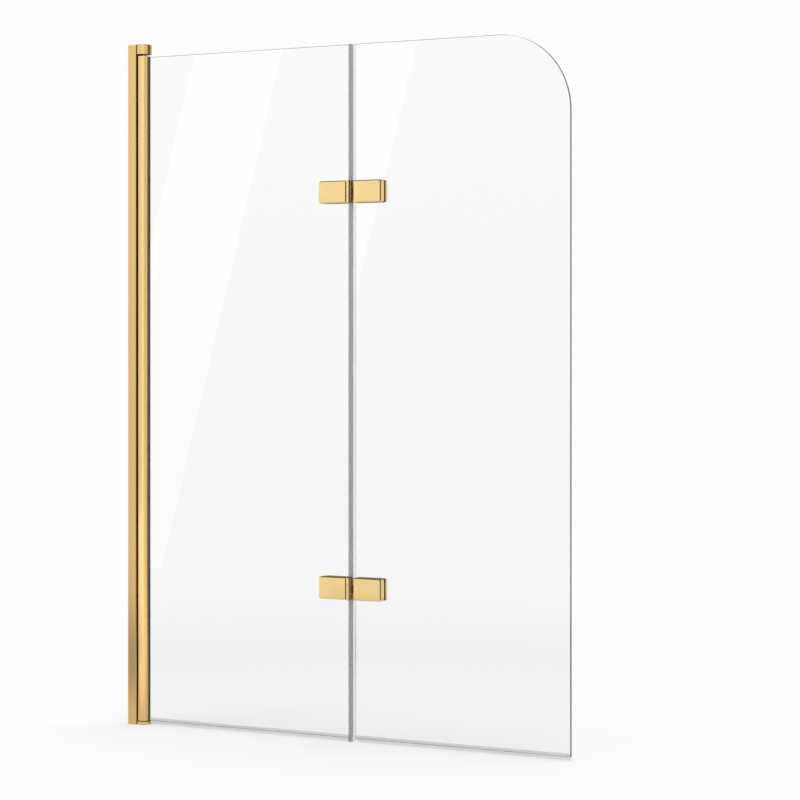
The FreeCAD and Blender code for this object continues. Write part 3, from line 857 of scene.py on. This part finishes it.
class BATHSCREEN_OT_brackets(bpy.types.Operator):
    """Build the pivot brackets above and below the tube"""

    bl_idname = "bathscreen.brackets"
    bl_label = "Pivot Brackets"

    def execute(self, context):
        sizes = Millimetres(context)
        # The second finish paints shade in the cap's groove.
        gold = ("gold_cap", "gold_seat")
        upper = top_bracket_solid(sizes)
        finish_piece(upper, "top_pivot_cap", "wall_frame", "gold_fitting", gold, "top_bracket")
        lower = bottom_bracket_solid(sizes)
        finish_piece(lower, "bottom_pivot_cap", "wall_frame", "gold_fitting", gold[:1], "bottom_bracket")
        return {"FINISHED"}


class BATHSCREEN_OT_domes(bpy.types.Operator):
    """Build the domes over the post's side screws"""

    bl_idname = "bathscreen.domes"
    bl_label = "Screw Domes"

    def execute(self, context):
        sizes = Millimetres(context)
        low, high = node_box("post_screw_caps")
        radius = (high.x - low.x) / 2
        middle_x = (low.x + high.x) / 2
        corner = sizes.dome_round
        wall = sizes.dome_wall
        bm = bmesh.new()
        for z in (low.z + radius, (low.z + high.z) / 2, high.z - radius):
            line = Outline(SECTION, middle_x, (high.y, z))
            dome = line.bm
            line.line((high.y, z + radius - corner))
            line.arc((high.y - corner, z + radius - corner), 90, sizes.round_steps)
            line.line((low.y, z + radius), (low.y, z + radius - wall))
            line.line((high.y - wall, z + radius - wall), (high.y - wall, z))
            bmesh.ops.spin(
                dome, geom=dome.verts[:] + dome.edges[:], cent=(middle_x, low.y, z), axis=(0, 1, 0),
                angle=2 * math.pi, steps=sizes.turn_steps // 2, use_merge=True,
            )
            bmesh.ops.remove_doubles(dome, verts=dome.verts, dist=WELD)
            add_solid(bm, dome)
        finish_piece(bm, "screw_domes", "wall_frame", "gold_plastic", ("gold_plastic",), "post_screw_caps")
        return {"FINISHED"}


# Panes and seals

SEAL_BASE = 1.2
SEAL_FIT = 0.05
HINGE_CUT = 1.0
FRONT_FIN = 3.1
GASKET_LIP = 0.5


def pane_solid(sizes, node, corner, side):
    """A pane with ground edges and clamp holes, its edges in the second finish except at the joint."""
    low, high = node_box(node)
    half = high.y
    arris = sizes.glass_arris
    line = Outline(FACE, arris - half, (low.x, low.z))
    line.line((high.x, low.z))
    if corner:
        line.line((high.x, high.z - corner))
        line.arc((high.x - corner, high.z - corner), 90, sizes.turn_steps // 2)
    else:
        line.line((high.x, high.z))
    line.line((low.x, high.z))
    bm = line.solid(2 * (half - arris))
    sides = [face for face in bm.faces if abs(face.normal.y) > SQUARE]
    bmesh.ops.inset_region(
        bm, faces=sides, thickness=arris, depth=arris, use_even_offset=True, use_boundary=True
    )
    levels = [(-half, sizes.glass_hole), (half, sizes.glass_hole)]
    drill(bm, FACE, levels, clamp_holes(sizes, side), sizes.turn_steps // 2)
    bmesh.ops.recalc_face_normals(bm, faces=bm.faces)

    def on_edge(face, spot):
        return abs(face.normal.y) <= SQUARE and face.normal.x * side >= -LOOKS

    mark_faces(bm, 1, on_edge)
    return bm


def clamp_holes(sizes, side):
    joint = JointPlace()
    return [
        (joint.x + side * offset, hinge_heights(place)[0])
        for place in HINGE_PLACES
        for offset in (sizes.screw_near, sizes.screw_far)
    ]


class BATHSCREEN_OT_panes(bpy.types.Operator):
    """Build the two glass panes with ground edges and clamp holes"""

    bl_idname = "bathscreen.panes"
    bl_label = "Glass Panes"

    def execute(self, context):
        sizes = Millimetres(context)
        glass = ("clear_glass", "glass_edge")
        corners = {"inner": 0.0, "outer": sizes.pane_corner}
        for leaf, body, side in LEAVES:
            bm = pane_solid(sizes, f"{leaf}_glass", corners[leaf], side)
            pane = finish_piece(bm, f"{leaf}_pane", body, "clear_glass", glass, f"{leaf}_glass")
            pane.visible_shadow = False
        return {"FINISHED"}


def joint_seal_solid(sizes):
    """Three lengths of a clip on the inner pane's edge, with a hollow bulb towards the outer pane."""
    low, high = node_box("joint_seal")
    joint = JointPlace()
    outer = joint.glass_half + sizes.seal_wall
    base_end = joint.inner_edge + SEAL_BASE
    bulb_radius = (high.x - base_end + sizes.bulb_wall / 2) / 2
    bulb = (high.x - bulb_radius, 0.0)
    bulb_turn = reach_turn(bulb[0] - base_end, bulb_radius)
    inside = joint.glass_half + SEAL_FIT
    pane_edge = joint.inner_edge + SEAL_FIT
    tip = (outer - inside) / 2
    tip_x = low.x + tip
    ends = [low.z]
    for place in reversed(HINGE_PLACES):
        block_low, block_high = node_box(f"{place}_inner_block")
        ends += [block_low.z - HINGE_CUT, block_high.z + HINGE_CUT]
    ends.append(high.z)
    bm = bmesh.new()
    for bottom, top in zip(ends[0::2], ends[1::2]):
        line = Outline(PLAN, bottom, (tip_x, -outer))
        strip = line.bm
        line.line((base_end, -outer), on_circle(bulb, bulb_radius, 180 + bulb_turn))
        line.arc(bulb, 360 - 2 * bulb_turn, sizes.turn_steps // 2)
        line.line((base_end, outer), (tip_x, outer))
        line.arc((tip_x, outer - tip), 180, sizes.round_steps)
        line.line((pane_edge, inside), (pane_edge, -inside), (tip_x, -inside))
        line.arc((tip_x, tip - outer), 180, sizes.round_steps)
        line.close()
        ring(strip, PLAN, bottom, bulb, bulb_radius - sizes.bulb_wall, sizes.turn_steps // 3)
        holed_solid(strip, (0, 0, top - bottom))
        # The front lip over the pane takes its painted shade.
        mark_faces(strip, 1, lambda face, spot: spot.x < pane_edge and spot.y < -joint.glass_half)
        mark_faces(strip, 2, lambda face, spot: abs(spot.x - pane_edge) < WELD)
        add_solid(bm, strip)
    return bm


def bottom_seal_solid(sizes, node):
    """A clip under a pane, with a short front fin and a longer rear fin."""
    low, high = node_box(node)
    joint = JointPlace()
    outer = joint.glass_half + sizes.seal_wall
    fin = sizes.fin_wall
    base = joint.glass_bottom - SEAL_BASE
    inside = joint.glass_half + SEAL_FIT
    pane_foot = joint.glass_bottom - SEAL_FIT
    front_tip = base - FRONT_FIN
    front_foot = -outer - (high.y - outer) / 2
    line = Outline(SECTION, low.x, (-outer, high.z))
    line.line((-outer, base), (front_foot, front_tip), (fin + front_foot, front_tip))
    line.line((fin - outer, base), (outer - fin, base))
    line.line((high.y - fin, low.z), (high.y, low.z), (outer, base), (outer, high.z))
    line.line((inside, high.z), (inside, pane_foot), (-inside, pane_foot), (-inside, high.z))
    return line.solid(high.x - low.x)


def glazing_gasket_solid():
    """The channel of rubber that holds the inner pane in the tube."""
    low, high = node_box("glazing_gasket")
    joint = JointPlace()
    tube = TubePlace()
    pane_edge = node_box("inner_glass")[0].x - SEAL_FIT
    inside = joint.glass_half + SEAL_FIT
    half = high.y
    face = tube.axis[0] + math.sqrt(tube.radius ** 2 - half ** 2)
    lip = joint.glass_half + GASKET_LIP
    line = Outline(PLAN, low.z, (low.x, -half))
    line.line((face, -half), (high.x, -lip), (high.x, -inside), (pane_edge, -inside), (pane_edge, inside))
    line.line((high.x, inside), (high.x, lip), (face, half), (low.x, half))
    return line.solid(high.z - low.z)


class BATHSCREEN_OT_seals(bpy.types.Operator):
    """Build the glazing gasket, the joint seal and the bottom seals"""

    bl_idname = "bathscreen.seals"
    bl_label = "Gasket and Seals"

    def execute(self, context):
        sizes = Millimetres(context)
        gasket = glazing_gasket_solid()
        finish_piece(gasket, "pane_gasket", "inner_leaf", "dark_rubber", ("dark_rubber",), "glazing_gasket")
        joint = joint_seal_solid(sizes)
        lipped = ("bulb_pvc", "grip_pvc", "base_pvc")
        finish_piece(joint, "joint_strip", "inner_leaf", "clear_pvc", lipped, "joint_seal")
        for leaf, body, _ in LEAVES:
            node = f"{leaf}_bottom_seal"
            strip = bottom_seal_solid(sizes, node)
            finish_piece(strip, f"{leaf}_drip_strip", body, "clear_pvc", ("clear_pvc",), node)
        return {"FINISHED"}


# Hinges

AXIS_STAND = 0.6
PIN_FIT = 0.01
KNUCKLE_GAP = 0.1
BUSH_FLANGE = 0.5
BUSH_WALL = 1.0
SCREW_HOLE_GAP = 0.2
HEAD_GAP = 0.05
HEAD_HEIGHT = 3.3


def plate_solid(sizes, front, back, near, far, half):
    """A plate with large corners away from the joint and small ones beside it."""
    big = sizes.block_corner
    small = sizes.block_inner_corner
    steps = sizes.round_steps
    line = Outline(FACE, front, (near + small, -half))
    line.line((far - big, -half)).arc((far - big, big - half), 90, steps * 2)
    line.line((far, half - big)).arc((far - big, half - big), 90, steps * 2)
    line.line((near + small, half)).arc((near + small, half - small), 90, steps)
    line.line((near, small - half)).arc((near + small, small - half), 90, steps)
    return line.solid(back - front)


def knuckle_solid(sizes, axis_y, near, bottom, top, bore):
    """A knuckle of the barrel with the web that joins it to its block."""
    radius = sizes.knuckle_radius
    reach = near + sizes.block_edge
    front = axis_y + AXIS_STAND + sizes.block_edge
    start = rise_turn(front - axis_y, radius)
    line = Outline(PLAN, bottom, (reach, front))
    line.line(on_circle((0, axis_y), radius, start))
    line.arc((0, axis_y), -(start + 270), sizes.turn_steps * 3 // 4)
    line.line((reach, axis_y + radius))
    bm = line.solid(top - bottom)
    round_rims(bm, PLAN, (bottom, top), sizes.knuckle_edge, BEVEL_STEPS)
    drill(bm, PLAN, [(bottom, bore), (top, bore)], [(0, axis_y)], sizes.turn_steps // 2)
    return bm


def place_at_joint(bm, joint, side, middle):
    """Turns a solid drawn to the right of the joint to its own side, at its hinge's height."""
    bmesh.ops.scale(bm, vec=(side, 1, 1), verts=bm.verts)
    bmesh.ops.translate(bm, vec=(joint.x, 0, middle), verts=bm.verts)


def hinge_block_solid(sizes, place, leaf, side):
    """A clamp block and its knuckles, with painted shade on the faces beside the joint."""
    low, high = node_box(f"{place}_{leaf}_block")
    joint = JointPlace()
    middle, half = hinge_heights(place)
    far = joint.span(f"{place}_{leaf}_block")[1]
    near = joint.span(f"{place}_{leaf}_back_plate")[0]
    axis_y = low.y + sizes.knuckle_radius
    front = axis_y + AXIS_STAND
    block = plate_solid(sizes, front, high.y, near, far, half)
    round_rims(block, FACE, (front,), sizes.block_edge, sizes.round_steps)
    round_rims(block, FACE, (high.y,), sizes.block_heel, BEVEL_STEPS)
    bush_low, bush_high = node_box(f"{place}_knuckle_bushes")
    flange = (bush_high.z - bush_low.z) / 2
    bore = sizes.hinge_pin + PIN_FIT
    if leaf == "inner":
        start = flange + KNUCKLE_GAP
        spans = [(-half, -start), (start, half)]
    else:
        reach = flange - BUSH_FLANGE
        spans = [(-reach, reach)]
        bore += BUSH_WALL
    bm = joined([block] + [knuckle_solid(sizes, axis_y, near, *span, bore) for span in spans])

    # Faces beside the joint, clear of the barrel, take the dark gold that paints their shade.
    def painted_shade_beside_joint(face, spot):
        clear_of_barrel = math.hypot(spot.x, spot.y - axis_y) > sizes.knuckle_radius + KNUCKLE_GAP
        return face.normal.x < -LOOKS and spot.x < near + sizes.block_edge and clear_of_barrel

    mark_faces(bm, 1, painted_shade_beside_joint)
    place_at_joint(bm, joint, side, middle)
    return bm


def back_plate_solid(sizes, place, leaf, side):
    """A back plate with two countersunk holes."""
    node = f"{place}_{leaf}_back_plate"
    low, high = node_box(node)
    joint = JointPlace()
    bm = plate_solid(sizes, low.y, high.y, *joint.span(node), (high.z - low.z) / 2)
    round_rims(bm, FACE, (high.y,), sizes.block_edge, sizes.round_steps)
    shank = sizes.screw_shank + SCREW_HOLE_GAP
    levels = [(low.y, shank), (high.y - HEAD_HEIGHT, shank), (high.y, sizes.screw_head + HEAD_GAP)]
    drill(bm, FACE, levels, [(sizes.screw_near, 0.0), (sizes.screw_far, 0.0)], sizes.turn_steps // 2)
    place_at_joint(bm, joint, side, hinge_heights(place)[0])
    return bm


class BATHSCREEN_OT_hinges(bpy.types.Operator):
    """Build the clamp blocks with their knuckles, and the back plates"""

    bl_idname = "bathscreen.hinges"
    bl_label = "Hinges"

    def execute(self, context):
        sizes = Millimetres(context)
        # The second finish paints shade beside the joint.
        gold = ("gold_fitting", "gold_seat")
        for place in HINGE_PLACES:
            for leaf, body, side in LEAVES:
                name = f"{place}_{leaf}"
                block = hinge_block_solid(sizes, place, leaf, side)
                finish_piece(block, f"{name}_clamp", body, "gold_fitting", gold, f"{name}_block")
                plate = back_plate_solid(sizes, place, leaf, side)
                finish_piece(plate, f"{name}_plate", body, "gold_fitting", gold[:1], f"{name}_back_plate")
        return {"FINISHED"}


# Stage, in metres and degrees

CAMERA_PLACE = (3.0255, -4.3443, 0.7912)
CAMERA_TURN = 28.841
CAMERA_LENS = 114.52
CAMERA_SENSOR = 36.0
CAMERA_SHIFT = -0.0747
CAMERA_CLIP = (0.05, 200.0)
CENTRE = (0.5, 0.0, 0.7)
AMBIENT = 0.74
LAMP_SHARE = 4.0
FLOOR_REACH = 9.0
FLOOR_CELLS = 8
FLOOR_DROP = 0.0004
FLOOR_ROUGHNESS = 0.9
SHADOW_NEAR = 0.6
SHADOW_FAR = 1.3
SHADOW_SHARE = 0.6
# Each soft lamp has a name, a place, a width and a level.
SOFT_LAMPS = (
    ("left_lamp", (-2.4, -3.0, 2.6), 2.0, 2.3),
    ("right_lamp", (3.4, -2.0, 2.8), 1.6, 1.25),
    ("top_lamp", (0.5, 0.3, 3.6), 2.2, 1.5),
)
# Each strip lamp has the pane that mirrors it, a place, a lean, a width, a height and a level.
STRIP_LAMPS = (
    ("inner_pane", (-1.877, -3.0, 0.943), 15.44, 0.343, 2.4, 0.8),
    ("outer_pane", (-1.313, -3.0, 1.411), 15.99, 0.5, 2.4, 0.8),
)
# Each panel lamp has a name, its first and last bearing, a distance from the tube, a height and a level.
PANEL_LAMPS = (
    ("left_panel", -58, 4, 1.2, 2.2, 0.1),
    ("left_low_panel", -58, 4, 0.6, 0.4, 0.3),
    ("foot_panel", -58, 60, 0.3, 0.1, 0.2),
    ("front_panel", 4, 39, 1.2, 2.2, 0.92),
    ("side_panel", 39, 88, 1.2, 2.2, 0.6),
)
ROUND_PIECES = ("swing_tube", "top_pivot_cap", "bottom_pivot_cap")

# Levels that polished metal and glass mirror from the studio round them: by bearing from the front (-Y)
# towards the free edge (+X) in degrees, by rise from straight down to straight up, and on the floor by
# distance from the middle of the screen in metres, with a darker side in the ring where the share is 1.
WALL_LEVELS = (
    (-180, 0.50), (-166, 0.14), (-138, 0.14), (-120, 0.70), (-62, 1.00), (-45, 1.10), (-33, 1.08),
    (-24, 1.08), (-18, 1.12), (-10, 1.14), (2, 1.12), (9, 0.12), (72, 0.07), (80, 0.40), (98, 0.40),
    (106, 0.07), (138, 0.07), (146, 1.00), (166, 1.00), (180, 0.50),
)
RISE_LEVELS = (
    (-1.0, 0.50), (-0.15, 0.75), (-0.02, 0.88), (0.1, 1.00), (0.4, 0.95), (0.6, 0.30), (0.75, 0.10),
    (1.0, 0.08),
)
FLOOR_LEVELS = ((0.0, 0.78), (0.45, 0.78), (0.7, 0.58), (1.5, 0.36), (3.0, 1.00), (9.0, 0.92))
SIDE_LEVELS = ((-180, 1.0), (2, 1.0), (9, 0.2), (138, 0.2), (146, 1.0), (180, 1.0))
SIDE_RING = ((0.0, 0.0), (1.7, 0.0), (2.3, 1.0), (9.0, 1.0))
BRIGHTEST = 1.3
# A ray's count of mirrors is above this once a mirror has turned it.
TURNED_DEPTH = 0.5


def studio_camera(scene):
    data = bpy.data.cameras.new("studio_camera")
    data.lens = CAMERA_LENS
    data.sensor_width = CAMERA_SENSOR
    data.shift_y = CAMERA_SHIFT
    data.clip_start, data.clip_end = CAMERA_CLIP
    camera = bpy.data.objects.new("studio_camera", data)
    camera.location = CAMERA_PLACE
    camera.rotation_euler = (math.radians(90), 0.0, math.radians(CAMERA_TURN))
    scene.collection.objects.link(camera)
    scene.camera = camera


def area_lamp(scene, name, place, width, height, level):
    """A flat lamp whose surface shines at the given level."""
    data = bpy.data.lights.new(name, "AREA")
    data.shape = "RECTANGLE"
    data.size = width
    data.size_y = height
    data.energy = LAMP_SHARE * level * width * height
    lamp = bpy.data.objects.new(name, data)
    lamp.location = place
    scene.collection.objects.link(lamp)
    return lamp


def soft_lamp(scene, name, place, size, level):
    """A square soft lamp that lights the screen but isn't mirrored in it."""
    lamp = area_lamp(scene, name, place, size, size, level)
    lamp.rotation_euler = (Vector(CENTRE) - Vector(place)).to_track_quat("-Z", "Y").to_euler()
    lamp.visible_glossy = False
    lamp.visible_transmission = False


def only_mirrored(lamp, pieces):
    """Show a lamp only as a reflection, and only in the pieces named."""
    lamp.visible_camera = False
    lamp.visible_diffuse = False
    lamp.visible_transmission = False
    lit = bpy.data.collections.new(lamp.name + "_lit")
    for piece in pieces:
        lit.objects.link(bpy.data.objects[piece])
    lamp.light_linking.receiver_collection = lit


def strip_lamp(scene, pane, place, tilt, width, height, level):
    """A leaning strip lamp in front of the screen that shows in one pane."""
    lamp = area_lamp(scene, pane + "_strip", place, width, height, level)
    lamp.rotation_euler = (math.radians(90), math.radians(tilt), 0.0)
    only_mirrored(lamp, [pane])


def panel_lamp(scene, name, start, end, away, height, level):
    """An upright panel between two bearings from the tube that shows in the round pieces there."""
    middle = math.radians((start + end) / 2)
    width = 2 * away * math.tan(math.radians((end - start) / 2))
    tube_x, tube_y = TubePlace().axis
    place = (tube_x * MM + away * math.sin(middle), tube_y * MM - away * math.cos(middle), height / 2)
    lamp = area_lamp(scene, name, place, width, height, level)
    lamp.rotation_euler = (math.radians(90), 0.0, middle)
    only_mirrored(lamp, ROUND_PIECES)


def calc(tree, operation, *values):
    """A calculation on sockets and plain numbers."""
    return add_node(tree, "ShaderNodeMath", *values, operation=operation).outputs[0]


def level_along(tree, value, levels):
    """A brightness read off places and levels along a value."""
    first, last = levels[0][0], levels[-1][0]
    ramp = add_node(tree, "ShaderNodeValToRGB", spread(tree, value, first, last, 0.0, 1.0))
    marks = ramp.color_ramp.elements
    marks.remove(marks[-1])
    for number, (place, level) in enumerate(levels):
        mark = marks.new((place - first) / (last - first)) if number else marks[0]
        mark.color = (*[level / BRIGHTEST] * 3, 1.0)
    return calc(tree, "MULTIPLY", ramp.outputs["Color"], BRIGHTEST)


def ray_kinds(tree):
    """Switches for rays from the camera, a mirror or glass, and for those that a mirror has turned."""
    rays = add_node(tree, "ShaderNodeLightPath").outputs
    seen = calc(tree, "MAXIMUM", rays["Is Camera Ray"], rays["Is Glossy Ray"])
    seen = calc(tree, "MAXIMUM", seen, rays["Is Transmission Ray"])
    turned = calc(tree, "GREATER_THAN", rays["Glossy Depth"], TURNED_DEPTH)
    return seen, calc(tree, "MULTIPLY", seen, turned)


def bearing_of(tree, heading):
    """The bearing of a heading in degrees, and its rise."""
    x, y, rise = add_node(tree, "ShaderNodeSeparateXYZ", heading).outputs
    return calc(tree, "DEGREES", calc(tree, "ARCTAN2", x, calc(tree, "MULTIPLY", y, -1.0))), rise


def studio_world(scene, backdrop):
    world = bpy.data.worlds.new("studio")
    world.use_nodes = True
    tree = world.node_tree
    tree.nodes.clear()
    bearing, rise = bearing_of(tree, add_node(tree, "ShaderNodeTexCoord").outputs["Generated"])
    walls = calc(
        tree, "MULTIPLY", level_along(tree, bearing, WALL_LEVELS), level_along(tree, rise, RISE_LEVELS)
    )
    seen, mirrored = ray_kinds(tree)
    plain = spread(tree, seen, 0.0, 1.0, AMBIENT, 1.0)
    level = calc(tree, "MULTIPLY_ADD", mirrored, calc(tree, "SUBTRACT", walls, 1.0), plain)
    light = add_node(tree, "ShaderNodeBackground", Color=backdrop, Strength=level)
    add_node(tree, "ShaderNodeOutputWorld", Surface=light.outputs[0])
    scene.world = world


def floor_finish(backdrop):
    """A pale floor that shows the shadow near the object and melts into the backdrop further out."""
    material = bpy.data.materials.new("studio_floor")
    material.use_nodes = True
    tree = material.node_tree
    shader = tree.nodes["Principled BSDF"]
    shader.inputs["Base Color"].default_value = backdrop
    shader.inputs["Roughness"].default_value = FLOOR_ROUGHNESS
    shader.inputs["Specular IOR Level"].default_value = 0.0
    place = add_node(tree, "ShaderNodeTexCoord").outputs["Object"]
    middle = (CENTRE[0], CENTRE[1], 0.0)
    heading = add_node(tree, "ShaderNodeVectorMath", place, middle, operation="SUBTRACT").outputs["Vector"]
    distance = add_node(tree, "ShaderNodeVectorMath", heading, operation="LENGTH").outputs["Value"]
    near = spread(tree, distance, SHADOW_NEAR, SHADOW_FAR, 1.0 - SHADOW_SHARE, 1.0)
    seen, mirrored = ray_kinds(tree)
    bearing, _ = bearing_of(tree, heading)
    side = calc(tree, "SUBTRACT", level_along(tree, bearing, SIDE_LEVELS), 1.0)
    side = calc(tree, "MULTIPLY_ADD", side, level_along(tree, distance, SIDE_RING), 1.0)
    dim = calc(tree, "MULTIPLY", level_along(tree, distance, FLOOR_LEVELS), side)
    dim = calc(tree, "SUBTRACT", dim, 1.0)
    level = calc(tree, "MULTIPLY_ADD", mirrored, dim, 1.0)
    glow = add_node(tree, "ShaderNodeEmission", Color=backdrop, Strength=level)
    share = calc(tree, "MULTIPLY", near, seen)
    mix = add_node(tree, "ShaderNodeMixShader", share, shader.outputs[0], glow.outputs[0])
    tree.links.new(mix.outputs[0], tree.nodes["Material Output"].inputs["Surface"])
    return material


def studio_floor(scene, backdrop):
    bm = bmesh.new()
    bmesh.ops.create_grid(bm, x_segments=FLOOR_CELLS, y_segments=FLOOR_CELLS, size=FLOOR_REACH)
    bmesh.ops.translate(bm, vec=(CENTRE[0], 0, -FLOOR_DROP), verts=bm.verts)
    mesh = bpy.data.meshes.new("studio_floor")
    bm.to_mesh(mesh)
    bm.free()
    mesh.materials.append(floor_finish(backdrop))
    floor = bpy.data.objects.new("studio_floor", mesh)
    scene.collection.objects.link(floor)


class BATHSCREEN_OT_stage(bpy.types.Operator):
    """Set up the floor, the soft light and the camera"""

    bl_idname = "bathscreen.stage"
    bl_label = "Stage"

    def execute(self, context):
        scene = context.scene
        backdrop = tuple(scene.bath_screen_colours.floor)
        scene.view_settings.view_transform = "Standard"
        studio_world(scene, backdrop)
        studio_floor(scene, backdrop)
        for lamp in SOFT_LAMPS:
            soft_lamp(scene, *lamp)
        for lamp in STRIP_LAMPS:
            strip_lamp(scene, *lamp)
        for lamp in PANEL_LAMPS:
            panel_lamp(scene, *lamp)
        studio_camera(scene)
        return {"FINISHED"}


# Steps in order, and the panel that lists them

STEPS = (
    BATHSCREEN_OT_finishes,
    BATHSCREEN_OT_post,
    BATHSCREEN_OT_tube,
    BATHSCREEN_OT_brackets,
    BATHSCREEN_OT_domes,
    BATHSCREEN_OT_panes,
    BATHSCREEN_OT_seals,
    BATHSCREEN_OT_hinges,
    BATHSCREEN_OT_stage,
)


class BATHSCREEN_PT_panel(bpy.types.Panel):
    """Lists the steps that build the bath screen"""

    bl_idname = "BATHSCREEN_PT_panel"
    bl_label = "Bath Screen"
    bl_space_type = "VIEW_3D"
    bl_region_type = "UI"
    bl_category = "Bath Screen"

    def draw(self, context):
        for step in STEPS:
            self.layout.operator(step.bl_idname)
        for group in (context.scene.bath_screen_sizes, context.scene.bath_screen_colours):
            column = self.layout.column()
            for name in group.__annotations__:
                column.prop(group, name)


CLASSES = (BathScreenSizes, BathScreenColours) + STEPS + (BATHSCREEN_PT_panel,)


def register():
    for item in CLASSES:
        bpy.utils.register_class(item)
    bpy.types.Scene.bath_screen_sizes = PointerProperty(type=BathScreenSizes)
    bpy.types.Scene.bath_screen_colours = PointerProperty(type=BathScreenColours)


def unregister():
    del bpy.types.Scene.bath_screen_colours
    del bpy.types.Scene.bath_screen_sizes
    for item in reversed(CLASSES):
        bpy.utils.unregister_class(item)


def main():
    register()
    bpy.ops.bathscreen.finishes()
    bpy.ops.bathscreen.post()
    bpy.ops.bathscreen.tube()
    bpy.ops.bathscreen.brackets()
    bpy.ops.bathscreen.domes()
    bpy.ops.bathscreen.panes()
    bpy.ops.bathscreen.seals()
    bpy.ops.bathscreen.hinges()
    bpy.ops.bathscreen.stage()


if __name__ == "__main__":
    main()
